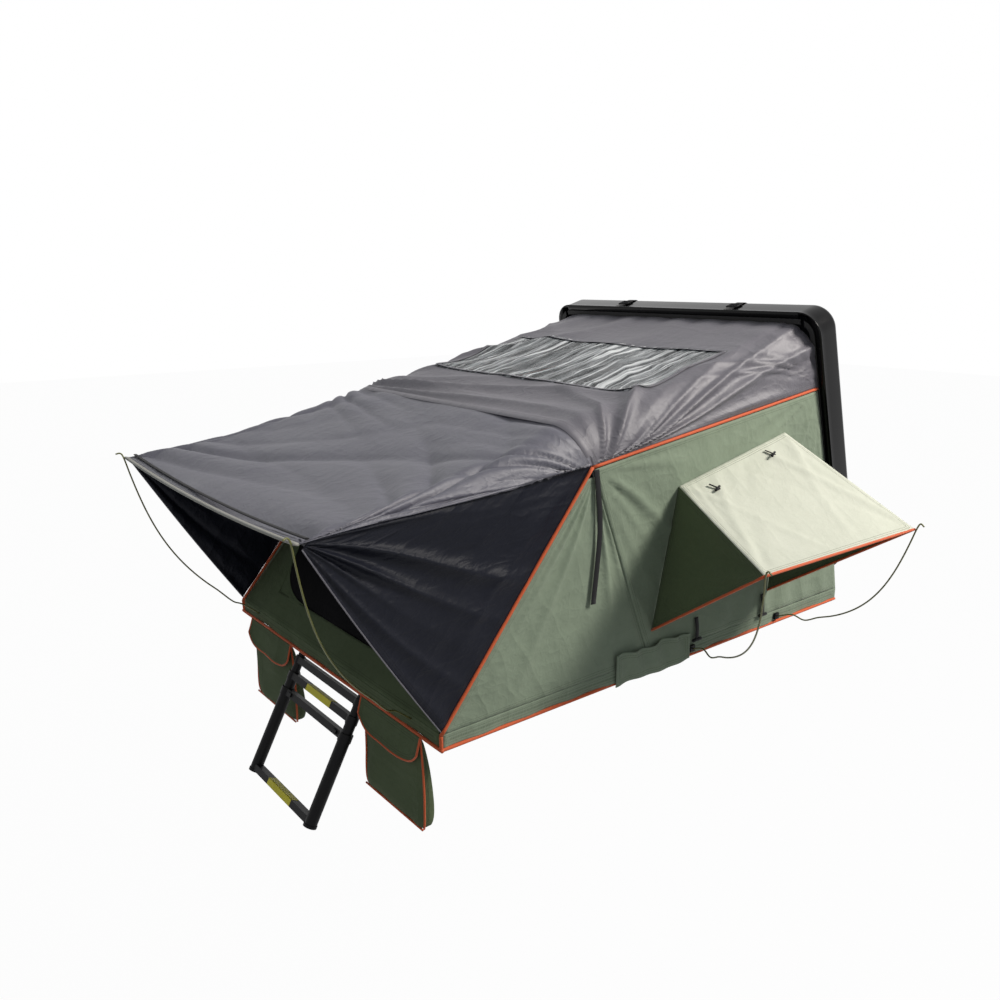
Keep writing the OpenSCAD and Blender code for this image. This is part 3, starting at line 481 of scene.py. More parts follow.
def clothArrays(p, thick, kept=None):
    rows, cols = p.shape[:2]
    half = gridNormals(p) * thick / 2
    verts = np.concatenate([(p + half).reshape(-1, 3), (p - half).reshape(-1, 3)])
    # lengths along the cut, down its rows and across its columns
    runU, runV = np.zeros((rows, cols)), np.zeros((rows, cols))
    runU[1:] = np.cumsum(np.linalg.norm(np.diff(p, axis=0), axis=2), axis=0)
    runV[:, 1:] = np.cumsum(np.linalg.norm(np.diff(p, axis=1), axis=2), axis=1)
    toU = np.minimum(runU, runU[-1:, :] - runU)
    toV = np.minimum(runV, runV[:, -1:] - runV)
    uv = np.stack([runU, runV], axis=2).reshape(-1, 2)
    edge = np.minimum(toU, toV).ravel()
    along = np.where(toU < toV, runV, runU).ravel()
    return verts, slabFaces(rows, cols, kept), np.tile(uv, (2, 1)), np.tile(edge, 2), np.tile(along, 2)


def clothSheet(name, cuts, thick, material, kept=None):  # one or more cuts sewn into one object
    verts, faces, uvs, edges = joinParts([clothArrays(p, thick, kept) for p in cuts])
    return makeObject(name, verts, faces, material, uvs, edges)


def smoothPath(points, steps):
    pts = [np.array(q, dtype=float) for q in points]
    pts = [2 * pts[0] - pts[1]] + pts + [2 * pts[-1] - pts[-2]]
    out = []
    for a, b, c, d in zip(pts, pts[1:], pts[2:], pts[3:]):
        for t in np.arange(steps) / steps:
            square, cube = 2 * a - 5 * b + 4 * c - d, 3 * b - a - 3 * c + d
            out.append(0.5 * (2 * b + (c - a) * t + square * t * t + cube * t ** 3))
    return np.array(out + [pts[-2]])


def sweepArrays(path, section, hint=(0.3, 0.5, -0.2)):
    path = np.asarray(path, dtype=float)
    ways = np.gradient(path, axis=0)
    ways /= np.maximum(np.linalg.norm(ways, axis=1, keepdims=True), 1e-9)
    side = np.cross(ways[0], np.array(hint))
    side /= np.linalg.norm(side)
    verts, k = [], len(section)
    for q, way in zip(path, ways):
        side = side - way * (side @ way)
        side /= np.linalg.norm(side)
        up = np.cross(way, side)
        verts += [q + side * a + up * b for a, b in section]
    caps = [tuple(range(k - 1, -1, -1)), tuple(range(len(verts) - k, len(verts)))]
    run = np.concatenate([[0], np.cumsum(np.linalg.norm(np.diff(path, axis=0), axis=1))])
    uv = [(r, s / k * 0.03) for r in run for s in range(k)]
    return np.array(verts), loftFaces(len(path), k) + caps, uv


def ringSection(radius, count=10):
    return [(radius * math.cos(a), radius * math.sin(a)) for a in 2 * math.pi * np.arange(count) / count]


def bandSection(width, thick):
    w, t, c = width / 2, thick / 2, thick * 0.35
    half = [(w, t - c), (w - c, t), (c - w, t), (-w, t - c)]
    return half + [(-x, -y) for x, y in half]


def sweepGroup(name, runs, material):  # runs of (path, section) with a hint where a band has to lie flat
    verts, faces, uvs, _ = joinParts([sweepArrays(*run) for run in runs])
    return makeObject(name, verts, faces, material, uvs)


# where the cloth runs

leanSin, leanCos = math.sin(math.radians(tent["bowLean"])), math.cos(math.radians(tent["bowLean"]))
openSin, openCos = math.sin(math.radians(tent["lidOpen"])), math.cos(math.radians(tent["lidOpen"]))
arch = {"side": 0.85, "flat": 0.45, "hemFlat": 0.94, "rise": 0.0066}


def archRun(half, low, top, g):  # across an arch and up its plane
    bend, side, flat, out = tent["archBend"], arch["side"], arch["flat"], np.abs(g)
    half, top = half - bend, top - bend
    turn = np.pi / 2 * np.clip((side - out) / (side - flat), 0, 1)
    down = (out - side) / (1 - side)
    x = np.where(out < flat, g / flat * half, np.sign(g) * (half + bend * np.cos(turn)))
    return x, np.where(out > side, top + (low - top) * down, top + bend * np.sin(turn))


def bowArch(g, rise=0.0):
    x, s = archRun(tent["archHalf"], tent["archLow"] + rise, tent["bowTop"], np.asarray(g, dtype=float))
    return np.stack([x, tent["bowAxis"][0] - s * leanSin, tent["bowAxis"][1] + s * leanCos], axis=-1)


def lidArch(g, rise=0.0):
    x, s = archRun(tent["roofHalf"], tent["roofLow"] + rise, tent["roofTop"], np.asarray(g, dtype=float))
    (axisY, axisZ), inset = tent["lidAxis"], tent["roofInset"]
    y, z = axisY - s * openCos - inset * openSin, axisZ + s * openSin - inset * openCos
    return np.stack([x, y, z], axis=-1)


def hemArch(g):
    g = np.asarray(g, dtype=float)
    flat, hemFlat = arch["flat"], arch["hemFlat"]
    outer = np.sign(g) * (hemFlat + (1 - hemFlat) * (np.abs(g) - flat) / (1 - flat))
    share = np.where(np.abs(g) < flat, g / flat * hemFlat, outer)
    z = tent["awningZ"] - tent["awningSag"] * (1 - share ** 2)
    return np.stack([share * tent["awningHalf"], np.full(g.shape, tent["awningY"]), z], axis=-1)


def wallX(z):
    return hemX - (z - hemZ) * math.tan(math.radians(tent["wallLean"]))


def onWall(yz):
    return np.stack([wallX(yz[..., 1]), yz[..., 0], yz[..., 1]], axis=-1)


bowCorner = bowArch(1.0)
lidCorner = lidArch(1.0)
awningCorner = hemArch(1.0)
frontCorner = np.array([hemX, hemY, skirtTop])
bowFootY = tent["bowAxis"][0] + (tent["bowAxis"][1] - skirtTop) * leanSin / leanCos

# planes that the cloth gathers into: over and under the folded floor inside the closed shell
bowFold = {"axis": (0, -0.9291, -0.3697), "anchor": (0, -0.6519, 0.1103), "keep": 0.003}
awningFold = {"axis": (0, -0.981, -0.192), "anchor": (0, -0.9635, 0.8933), "keep": 0.004}
sideFold = {"axis": (0, -0.9291, -0.3697), "anchor": (0, -0.6577, 0.1080), "keep": 0.008}
sideTuck = {"lean": 0.07, "x": 0.70}


def rideShell(piece):
    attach(piece, "lid")
    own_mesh(piece)


def rideBow(piece, fold=bowFold, side=0):
    axis = (side * sideTuck["lean"],) + fold["axis"][1:]
    anchor = (side * sideTuck["x"],) + fold["anchor"][1:]
    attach(piece, "bow")
    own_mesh(piece)


# fly roof, with fans as (count, reach, height, seed)

roofLook = {
    "thick": 0.0026, "sag": 0.020, "length": 1.15, "halfRun": 0.86,
    "bowFan": (15.0, 1.75, 0.044, 0.4), "lidFan": (12.0, 0.85, 0.026, 2.0), "gather": 0.007,
    "window": (0.30, 0.70, 0.452), "filmThick": 0.0008, "filmLift": 0.0026,
    "frameTape": (0.018, 0.0014), "frameLift": 0.0042, "bowTape": (0.030, 0.0018), "bowTapeLift": 0.0024,
}


def roofBase(f, g):
    p = mix(bowArch(g, arch["rise"]), lidArch(g, arch["rise"]), f[..., None])
    p[..., 2] -= roofLook["sag"] * np.sin(np.pi * f) * np.cos(np.pi / 2 * g)
    return p


def roofNormal(f, g, step=0.001):
    alongF = roofBase(f + step, g) - roofBase(f - step, g)
    n = np.cross(alongF, roofBase(f, g + step) - roofBase(f, g - step))
    return n * np.sign(n[..., 2:3]) / np.linalg.norm(n, axis=-1, keepdims=True)


def roofFolds(p, f, g):
    h = rumple(p, (0.0045, 3.1, 0.0), (0.0022, 8.5, 4.0))
    fromBow = f * roofLook["length"]
    for side in (1, -1):
        inX = (1 - side * g) * roofLook["halfRun"]
        h = h + cornerFan(fromBow, inX, roofLook["bowFan"], side)
        h = h + cornerFan(roofLook["length"] - fromBow, inX, roofLook["lidFan"], side)
    h = h + roofLook["gather"] * (np.abs(np.sin(g * 26 + 3 * f)) - 0.5) * np.clip((f - 0.78) / 0.22, 0, 1)
    return h * fadeIn(f / 0.03, (1.02 - f) / 0.04, (1 - np.abs(g)) / 0.05)


def makeFlyRoof():
    f0, f1, gw = roofLook["window"]
    fs = runStops((0.001, f0, 39), (f0, f1, 39), (f1, 1.0, 20))
    gs = runStops((-1, -gw, 52), (-gw, gw, 46), (gw, 1, 52))
    g, f = np.meshgrid(gs, fs)
    p = roofBase(f, g)
    kept = cutOut(fs, gs, f0, f1, gw)
    roof = clothSheet("flyRoof", [raised(p, roofFolds(p, f, g))], roofLook["thick"], cloth["flyCloth"], kept)
    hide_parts("roof_rear")
    rideShell(roof)
    # clear window, crinkled across and held by a sewn frame
    g, f = grid((-gw - 0.012, gw + 0.012, 90), (f0 - 0.011, f1 + 0.011, 60))
    p = roofBase(f, g)
    crinkle = 0.008 * softNoise(p * np.array([2.6, 0.5, 0.5]), 9.0, 2.0)
    crinkle = crinkle + 0.004 * softNoise(p * np.array([2.0, 0.7, 0.7]), 20.0, 9.0)
    fade = fadeIn((f - f0) / 0.03, (f1 - f) / 0.03, (gw - np.abs(g)) / 0.03)
    lift = roofLook["filmLift"] + roofFolds(p, f, g) * (1 - 0.4 * fade) + crinkle * fade
    film = clothSheet("roofWindow", [raised(p, lift)], roofLook["filmThick"], clearFilm)
    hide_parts("skylight")
    rideShell(film)
    frameRuns = []
    border = [(f0, -gw), (f0, gw), (f1, gw), (f1, -gw)]
    for start, end in zip(border, border[1:] + border[:1]):
        f, g = np.linspace(start, end, 40).T[:, None, :]
        line = roofBase(f, g)
        line = line + roofNormal(f, g) * (roofFolds(line, f, g) + roofLook["frameLift"])[..., None]
        frameRuns.append((line[0], bandSection(*roofLook["frameTape"]), (0.0, 0.0, 1.0)))
    tape = sweepGroup("roofWindowTape", frameRuns, cloth["flyCloth"])
    rideShell(tape)


def makeBowTape():  # folded tape that joins the two roof sheets over the bow
    lift = np.array([0, -leanSin, leanCos]) * roofLook["bowTapeLift"]
    line = bowArch(np.linspace(-1, 1, 120), arch["rise"]) + lift
    tape = sweepGroup("bowTape", [(line, bandSection(*roofLook["bowTape"]), (1, 0, 0))], cloth["flyCloth"])
    rideBow(tape)


makeFlyRoof()
makeBowTape()
print("fly roof made")


# awning: top sheet, dark wings and pale front hem

awningLook = {
    "rows": 90, "cols": 140, "thick": 0.0026, "sag": 0.034, "length": 0.96, "halfRun": 0.84,
    "bowFan": (14.0, 0.95, 0.030, 0.9), "hemFan": (13.0, 1.45, 0.046, 1.7),
    "wingHollow": -0.008, "wingTipFan": (15.0, 1.2, 0.040, 0.6), "wingBowFan": (11.0, 0.75, 0.022, 1.9),
    "edgeCord": 0.0022, "hem": (0.019, 0.008), "zip": (0.012, 0.004),
}


def makeAwningTop():
    g, f = grid((-1, 1, awningLook["cols"]), (0.001, 0.9985, awningLook["rows"]))
    p = mix(bowArch(g, arch["rise"] + 0.001), hemArch(g), f[..., None])
    p[..., 2] -= awningLook["sag"] * np.sin(np.pi * f) * np.cos(np.pi / 2 * g)
    h = rumple(p, (0.004, 3.4, 11.0), (0.0018, 9.0, 3.0))
    out = f * awningLook["length"]
    for side in (1, -1):
        inX = (1 - side * g) * awningLook["halfRun"] * (1 - 0.2 * f)
        h = h + cornerFan(out, inX, awningLook["bowFan"], side)
        h = h + cornerFan(awningLook["length"] - out, inX, awningLook["hemFan"], side)
    h = h * fadeIn(f / 0.02, (1 - f) / 0.02, (1 - np.abs(g)) / 0.05)
    top = clothSheet("awningTop", [raised(p, h)], awningLook["thick"], cloth["awningCloth"])
    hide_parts("awning_roof")
    rideBow(top, awningFold)


def makeWing(side, label):
    g, f = grid((-0.012, 0.992, 84), (0.0, 0.962, 84))
    f = f + 0.0088 + 0.0022 * g * g
    p = mix(mix(bowCorner, frontCorner, g[..., None]), awningCorner, f[..., None])
    back = (bowCorner - awningCorner) / np.linalg.norm(bowCorner - awningCorner)
    p = p + back * (awningLook["wingHollow"] * np.sin(np.pi * f) * g * g)[..., None]
    p[..., 0] -= 0.006 * np.sin(np.pi * f) + 0.0035 * np.clip(1 - g / 0.1, 0, 1)
    h = rumple(p, (0.008, 2.6, 21.0), (0.003, 8.0, 5.0))
    h = h + pullFan(np.linalg.norm(p - awningCorner, axis=2), g * 1.15, awningLook["wingTipFan"])
    h = h + pullFan(np.linalg.norm(p - bowCorner, axis=2), f * 1.2, awningLook["wingBowFan"])
    p[..., 0] += h * fadeIn(f / 0.04, (1 - f) / 0.06, (g + 0.012) / 0.05, (1 - g) / 0.06)
    p = p * np.array([side, 1, 1])
    cut = p if side > 0 else p[:, ::-1]
    wing = clothSheet("awningWing" + label, [cut], awningLook["thick"], cloth["wingCloth"])
    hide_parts("awning_wing_" + label.lower())
    rideBow(wing, sideFold, side)
    cordRun = (p[:, -1, :], ringSection(awningLook["edgeCord"], 8))
    cord = sweepGroup("wingEdge" + label, [cordRun], cloth["flyCloth"])
    rideBow(cord, sideFold, side)


def makeAwningHem():
    line = hemArch(np.linspace(-1, 1, 80))
    hemRun = (line + np.array([0, -0.005, 0.0]), bandSection(*awningLook["hem"]), (0, 0.25, 1.0))
    hem = sweepGroup("awningHem", [hemRun], cloth["hemWebbing"])
    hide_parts("awning_hem")
    rideBow(hem, awningFold)
    zipRun = (line + np.array([0, 0.026, 0.0085]), bandSection(*awningLook["zip"]), (0, 0.0, 1.0))
    zipLine = sweepGroup("awningZip", [zipRun], cloth["blackWebbing"])
    rideBow(zipLine, awningFold)


makeAwningTop()
onBothSides(makeWing)
makeAwningHem()
print("awning made")


# side walls

wallLook = {
    "thick": 0.0026, "rearY": 0.556, "netThick": 0.0008, "netBehind": 0.0045,
    "window": ((-0.540, 0.222), (-0.452, 0.612), (0.046, 0.716), (0.012, 0.222)),
    "bowFan": (12.5, 0.85, 0.021, 0.5), "lidFan": (11.0, 0.7, 0.014, 1.4),
    "frontFan": (16.0, 0.95, 0.018, 0.8), "bowTuck": 0.0029,
}


def patchGrid(ctrl, steps):  # bilinear patches between control points
    ctrl = np.array(ctrl, dtype=float)
    us, vs = (runStops(*((k, k + 1, n + 1) for k, n in enumerate(run))) for run in steps)
    a, b = (np.minimum(stops.astype(int), len(run) - 1) for stops, run in zip((us, vs), steps))
    u, v = (us - a)[:, None, None], (vs - b)[None, :, None]
    low = mix(ctrl[a][:, b], ctrl[a + 1][:, b], u)
    high = mix(ctrl[a][:, b + 1], ctrl[a + 1][:, b + 1], u)
    return mix(low, high, v), us, vs


def makeRearWall(side, label):
    lowFront, topFront, topRear, lowRear = (np.array(corner) for corner in wallLook["window"])
    cornerB, cornerL = bowCorner[1:] + (0.006, -0.008), lidCorner[1:] + (-0.002, -0.008)
    lowB = np.array((bowFootY + 0.001, skirtTop))
    rearLow = (wallLook["rearY"] + 0.004, 0.10)
    ctrl = [
        [lowB, mix(lowB, cornerB, 0.22), mix(lowB, cornerB, 0.75), cornerB],
        [(-0.545, skirtTop), lowFront, topFront, mix(cornerB, cornerL, 0.34)],
        [(0.02, skirtTop), lowRear, topRear, mix(cornerB, cornerL, 0.76)],
        [(wallLook["rearY"], skirtTop), mix(rearLow, cornerL, 0.16), mix(rearLow, cornerL, 0.74), cornerL],
    ]
    yz, us, vs = patchGrid(ctrl, ((26, 44, 30), (14, 36, 18)))
    p = onWall(yz)
    y, z = p[..., 1], p[..., 2]
    h = rumple(p, (0.006, 2.2, 31.0 + side), (0.0025, 7.0, 7.0))
    h = h + cornerFan(y - cornerB[0], cornerB[1] - z, wallLook["bowFan"])
    h = h + cornerFan(cornerL[0] - y, cornerL[1] - z, wallLook["lidFan"])
    h = h + 0.004 * np.sin(y * 46 + 3 * softNoise(p, 3.0, 2.0)) * np.clip((0.24 - z) / 0.14, 0, 1)
    u, v = us[:, None], vs[None, :]
    p[..., 0] += h * fadeIn(u / 0.12, (3 - u) / 0.12, v / 0.15, (3 - v) / 0.15)
    kept = facing(cutOut(us, vs - 1.5, 1, 2, 0.5), side)
    wall = clothSheet("rearWall" + label, [toSide(p, side)], wallLook["thick"], cloth["wallCanvas"], kept)
    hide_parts("side_wall_rear_" + label.lower())
    rideShell(wall)
    # insect mesh behind the opening
    v, u = grid((-0.02, 1.02, 24), (-0.02, 1.02, 30))
    q = onWall(quad(lowFront, lowRear, topFront, topRear, u, v))
    q[..., 0] -= wallLook["netBehind"] - 0.002 * softNoise(q, 5.0, 3.0)
    net = clothSheet("windowNet" + label, [toSide(q, side)], wallLook["netThick"], cloth["insectMesh"])
    if side > 0:
        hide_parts("window_meshes")
    "rearWall" + label
    rideShell(net)


def makeFrontSideWall(side, label):
    cornerB = bowCorner[1:] + (0.012, -0.020)
    lowB, lowF = np.array((bowFootY + 0.012, skirtTop)), np.array((hemY + 0.008, skirtTop))
    v, u = grid((0, 0.985, 60), (0, 1, 60))
    p = onWall(quad(lowF, lowB, cornerB - (0.022, 0.004), cornerB, u, v))
    h = rumple(p, (0.006, 2.4, 41.0 + side), (0.002, 7.5, 6.0))
    h = h + cornerFan(cornerB[1] - p[..., 2], cornerB[0] - p[..., 1], wallLook["frontFan"])
    p[..., 0] += h * rimFade(u, v, 0.05) - wallLook["bowTuck"] * fadeIn((u - 0.9) / 0.08)
    wall = clothSheet("frontSideWall" + label, [toSide(p, side)], wallLook["thick"], cloth["wallCanvas"])
    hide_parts("side_wall_front_" + label.lower())
    rideBow(wall, sideFold, side)


onBothSides(makeRearWall)
onBothSides(makeFrontSideWall)
print("side walls made")


# door end

doorLook = {
    "thick": 0.0026, "end": 0.985, "low": 0.985 / 9, "high": 0.985 * 8 / 9, "half": 0.985 * 4 / 6,
    "round": (0.30, 0.16), "cornerThick": 0.0022, "netThick": 0.0008, "netBehind": 0.0035,
}


def frontBase(f, g):
    y, z = np.full(g.shape, hemY + 0.003), np.full(g.shape, floorZ + 0.004)
    top = bowArch(g * 0.97)
    top[..., 0] -= g * 0.010
    top[..., 2] -= 0.046
    return mix(np.stack([g * (hemX - 0.004), y, z], axis=-1), top, f[..., None])


def makeDoorWall():
    low, high, half, end = (doorLook[k] for k in ("low", "high", "half", "end"))
    fs = runStops((0, low, 14), (low, high, 40), (high, end, 8))
    gs = runStops((-end, -half, 18), (-half, half, 50), (half, end, 18))
    g, f = np.meshgrid(gs, fs)
    p = frontBase(f, g)
    wave = np.sin(p[..., 0] * 22 + 2 * softNoise(p, 3, 1.0)) * np.clip(1 - f / 0.2, 0, 1)
    h = (0.005 * softNoise(p, 3.5, 51.0) + 0.004 * wave) * fadeIn(f / 0.02, (end - np.abs(g)) / 0.03)
    kept = cutOut(fs, gs, low, high, half)
    # painted shade: the door end wears the darker copy of the wall canvas
    wall = clothSheet("doorWall", [raised(p, h)], doorLook["thick"], cloth["paintedShadeCanvas"], kept)
    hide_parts("front_wall")
    rideBow(wall)
    # rounded lower corners of the opening
    corners, (wide, tall) = [], doorLook["round"]
    for side in (1, -1):
        b, a = grid((0, 1, 12), (0, 1, 20))
        rise = tall * (1 - np.sqrt(np.clip(1 - (1 - a) ** 2, 0, 1))) + 0.004
        q = frontBase(low - 0.01 + b * (rise + 0.01), side * (half + 0.01 - a * wide))
        corners.append(facing(q - gridNormals(q) * 0.001 * side, -side))
    cornerSheet = clothSheet("doorCorners", corners, doorLook["cornerThick"], cloth["paintedShadeCanvas"])
    rideBow(cornerSheet)
    g, f = grid((-half - 0.015, half + 0.015, 50), (low - 0.012, high + 0.012, 50))
    p = frontBase(f, g)
    p = raised(p, -doorLook["netBehind"] - 0.003 * softNoise(p, 4.0, 8.0))
    net = clothSheet("doorNet", [p], doorLook["netThick"], cloth["insectMesh"])
    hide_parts("door_mesh")
    rideBow(net)


makeDoorWall()
print("door wall made")


# skirts below the floor line and the loose hinge flaps

skirtLook = {
    "low": 0.019, "high": 0.0634, "thick": 0.0024, "foldKeep": 0.25,
    "baseY": (-0.545, 0.556), "panelBack": -0.575,
}
flapLook = {
    "front": -0.790, "length": 0.380, "low": 0.008, "height": 0.104, "off": 0.0068, "thick": 0.0022,
    "foldAnchor": (0, -0.545, 0.06), "foldKeep": 0.15,
}


def skirtStrip(start, end, steps, seed, ripple=0.004):
    (ax, ay), (bx, by) = start, end
    v, u = grid((0, 1, 10), (0, 1, steps))
    p = np.stack([mix(ax, bx, u), mix(ay, by, u), mix(skirtLook["low"], skirtLook["high"], v)], axis=-1)
    out = np.array([by - ay, ax - bx, 0.0])
    out = out / np.linalg.norm(out)
    wave = ripple * (softNoise(p, 5.0, seed) + 0.6 * np.sin(u * steps * 0.45 + seed)) * (1 - v)
    return p + out * (wave * fadeIn(u / 0.03, (1 - u) / 0.03))[..., None]


def skirtPair(front, back, steps, seed):
    right = skirtStrip((hemX, front), (hemX, back), steps, seed)
    return [right, skirtStrip((-hemX, back), (-hemX, front), steps, seed + 1.0)]


def ridePanelHem(piece):  # the hanging hem moves with the floor panel that folds over
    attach(piece, "panel")
    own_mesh(piece)


def makeSkirts():
    thick, frontX, frontY = skirtLook["thick"], hemX - 0.012, hemY + 0.003
    strips = skirtPair(*skirtLook["baseY"], 80, 1.0)
    baseSkirt = clothSheet("baseSkirt", strips, thick, cloth["wallCanvas"])
    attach(baseSkirt, "base")
    strips = skirtPair(hemY + 0.006, skirtLook["panelBack"], 70, 3.0)
    panelSkirt = clothSheet("panelSkirt", strips, thick, cloth["wallCanvas"])
    ridePanelHem(panelSkirt)
    strips = [skirtStrip((-frontX, frontY), (frontX, frontY), 90, 5.0, 0.003)]
    # painted shade: the front skirt wears the darker copy of the wall canvas
    frontSkirt = clothSheet("frontSkirt", strips, thick, cloth["paintedShadeCanvas"])
    ridePanelHem(frontSkirt)


def makeHingeFlap(side, label):
    v, u = grid((0, 1, 24), (0, 1, 70))
    y = flapLook["front"] + flapLook["length"] * u
    z = flapLook["low"] + (flapLook["height"] + 0.006 * (1 - u)) * v
    p = np.stack([np.full(y.shape, hemX + flapLook["off"]), y, z], axis=-1)
    bulge = 0.008 * np.sin(u * 23 + 1.0 + 2 * v) * (0.3 + 0.7 * v) + 0.008 * softNoise(p, 9.0, 13.0)
    p[..., 0] += 0.004 + bulge * np.clip(np.minimum(u, 1 - u) / 0.05, 0.2, 1)
    p[..., 2] += 0.005 * np.sin(u * 11 + 0.5) * v - 0.003 * np.sin(u * 9 + 2.0) * (1 - v)
    # painted shade: the left flap, away from the key lamp, takes the darker copy of the canvas the right flap
    # wears
    canvas = cloth["paintedShadeCanvas"] if side < 0 else cloth["wallCanvas"]
    flap = clothSheet("hingeFlap" + label, [toSide(p, side)], flapLook["thick"], canvas)
    if side > 0:
        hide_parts("hinge_flaps")
    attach(flap, "base")
    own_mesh(flap)


makeSkirts()
onBothSides(makeHingeFlap)
print("skirts made")


# seam piping

pipingLook = {"radius": 0.0060, "baseY": (-0.430, 0.556), "panelBack": -0.690}


def makePiping():
    ring = ringSection(pipingLook["radius"])
    x, y, z = hemX, hemY, hemZ
    baseFront, baseBack = pipingLook["baseY"]
    panelHem = smoothPath([(x, pipingLook["panelBack"], z), (x, -1.0, z), (x, -1.30, z), (x, y + 0.02, z),
                           (x - 0.004, y + 0.004, z), (x - 0.02, y, z), (x - 0.3, y, z), (0.0, y, z)], 10)
    lines = {
        "roofPiping": [np.linspace(bowCorner, lidCorner - np.array([0, 0.004, 0]), 40)],
        "wallPiping": [np.linspace(bowCorner, frontCorner, 40)],
        "baseHemPiping": [np.linspace((x, baseFront, z), (x, baseBack, z), 40)],
        "panelHemPiping": [panelHem, np.linspace(frontCorner, (x - 0.002, y + 0.002, z), 8)],
    }
    made = []
    for name, runs in lines.items():
        pair = [(line * np.array([side, 1, 1]), ring) for side in (1, -1) for line in runs]
        made.append(sweepGroup(name, pair, cloth["orangePiping"]))
    roofLine, wallLine, baseLine, panelLine = made
    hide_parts("piping_rear")
    rideShell(roofLine)
    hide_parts("piping_front")
    rideBow(wallLine, sideFold)
    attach(baseLine, "base")
    ridePanelHem(panelLine)


makePiping()
print("piping made")


# window hoods

hoodLook = {
    "wall": [(-0.610, 0.165), (-0.495, 0.660), (0.105, 0.785), (0.060, 0.165)],
    "edge": [(-0.700, 0.515), (0.165, 0.505)],
    "out": 0.500, "thick": 0.0022, "topSag": 0.016, "sideSag": 0.018, "piping": 0.0045,
    "toggles": ((0.17, 0.10), (0.72, 0.05)), "toggleBand": (0.010, 0.003), "toggleBar": 0.0045,
    "foldAxis": (0.9058, -0.1239, -0.4053), "foldAnchor": (1.2537, -0.2749, 0.4872), "foldKeep": 0.003,
}
inner = [np.array([wallX(z) + 0.003, y, z]) for y, z in hoodLook["wall"]]
tips = [np.array([hemX + hoodLook["out"], y, z]) for y, z in hoodLook["edge"]]


def hoodPatch(a, b, c, d, nu, nv):  # a to b along the wall, d to c along the outer edge
    v, u = grid((0, 1, nv), (0, 1, nu))
    return quad(a, b, d, c, u, v), u, v, rimFade(u, v, 0.06)


def hoodTop():
    top, u, v, fade = hoodPatch(inner[1], inner[2], tips[1], tips[0], 60, 54)
    h = rumple(top, (0.004, 4.0, 61.0), (0.002, 11.0, 2.0))
    h = h - hoodLook["topSag"] * np.sin(np.pi * u) * np.sin(np.pi * v)
    alongWall, alongEdge = (lambda f: mix(inner[1], inner[2], f)), (lambda f: mix(tips[0], tips[1], f))
    for start, end, tall in ((tips[0], alongWall(0.3), 0.007), (tips[0], alongWall(0.6), -0.006),
                             (tips[1], alongWall(0.7), 0.007), (tips[1], alongWall(0.4), -0.005),
                             (inner[1], alongEdge(0.45), 0.006), (inner[2], alongEdge(0.6), 0.006)):
        h = h + ridge(top, start, end, 0.018, tall)
    # puckers along the two side seams
    front, rear = np.abs(np.sin(u * 52 + 5 * v)) - 0.5, np.abs(np.sin((1 - u) * 44 + 4 * v)) - 0.5
    h = h + 0.010 * front * np.clip(1 - u / 0.16, 0, 1) * np.clip(1 - v / 0.9, 0, 1)
    h = h + 0.006 * rear * np.clip(1 - (1 - u) / 0.14, 0, 1) * (1 - v)
    normal = gridNormals(top)
    return top + normal * np.sign(normal[..., 2:3]) * (h * fade)[..., None]


def hoodGusset(low, high, tip, seed, outward):
    q, u, v, fade = hoodPatch(low, high, mix(tip, high, 0.004), mix(tip, low, 0.004), 44, 44)
    h = 0.006 * softNoise(q, 4.0, seed) - hoodLook["sideSag"] * np.sin(np.pi * u) * np.sin(np.pi * v)
    for share, tall in ((0.35, 0.008), (0.65, -0.007)):
        h = h + ridge(q, tip, mix(low, high, share), 0.02, tall)
    normal = gridNormals(q)
    return q + normal * np.sign(normal[..., 1:2]) * outward * (h * fade)[..., None]


def makeHood(side, label):
    flip, thick = np.array([side, 1, 1]), hoodLook["thick"]
    # painted light: the hood tops take the lighter copy of the wall canvas
    topSheet = clothSheet("hoodTop" + label, [facing(hoodTop(), -side) * flip], thick, cloth["paintedLightHoodCanvas"])
    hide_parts("hood_" + label.lower())
    "rearWall" + label
    front = hoodGusset(inner[0], inner[1], tips[0], 71.0, -1)
    rear = hoodGusset(inner[3], inner[2], tips[1], 72.0, 1)
    gussets = [facing(front, side) * flip, facing(rear, -side) * flip]
    # painted shade: the gussets are wall canvas, drawn in its darker copy
    sidePair = clothSheet("hoodSides" + label, gussets, thick, cloth["paintedShadeCanvas"])
    "hoodTop" + label
    ring = ringSection(hoodLook["piping"])
    bound = ((tips[0], tips[1], 30), (tips[0], inner[0], 24), (tips[1], inner[3], 24))
    runs = [(np.linspace(*run) * flip, ring) for run in bound]
    edge = sweepGroup("hoodPiping" + label, runs, cloth["orangePiping"])
    toggles = []
    for share, reach in hoodLook["toggles"]:
        base = quad(inner[1], inner[2], tips[0], tips[1], share, reach) + (0.01, 0, 0.003)
        loop = base + [(0, 0, 0), (0.014, 0.006, -0.004), (0.036, 0.016, -0.0125)]
        bar = np.linspace(base + (0.024, 0.026, -0.006), base + (0.040, -0.012, -0.0125), 4)
        toggles.append((smoothPath(loop, 6) * flip, bandSection(*hoodLook["toggleBand"]), (0, 0, 1)))
        toggles.append((bar * flip, ringSection(hoodLook["toggleBar"])))
    ties = sweepGroup("hoodToggles" + label, toggles, cloth["blackWebbing"])
    for piece in (topSheet, sidePair, edge, ties):
        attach(piece, "hood_" + label.lower())
        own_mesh(piece)


onBothSides(makeHood)
print("hoods made")


# spring rods: a small kink near the foot, a long arc and a hook at the tip

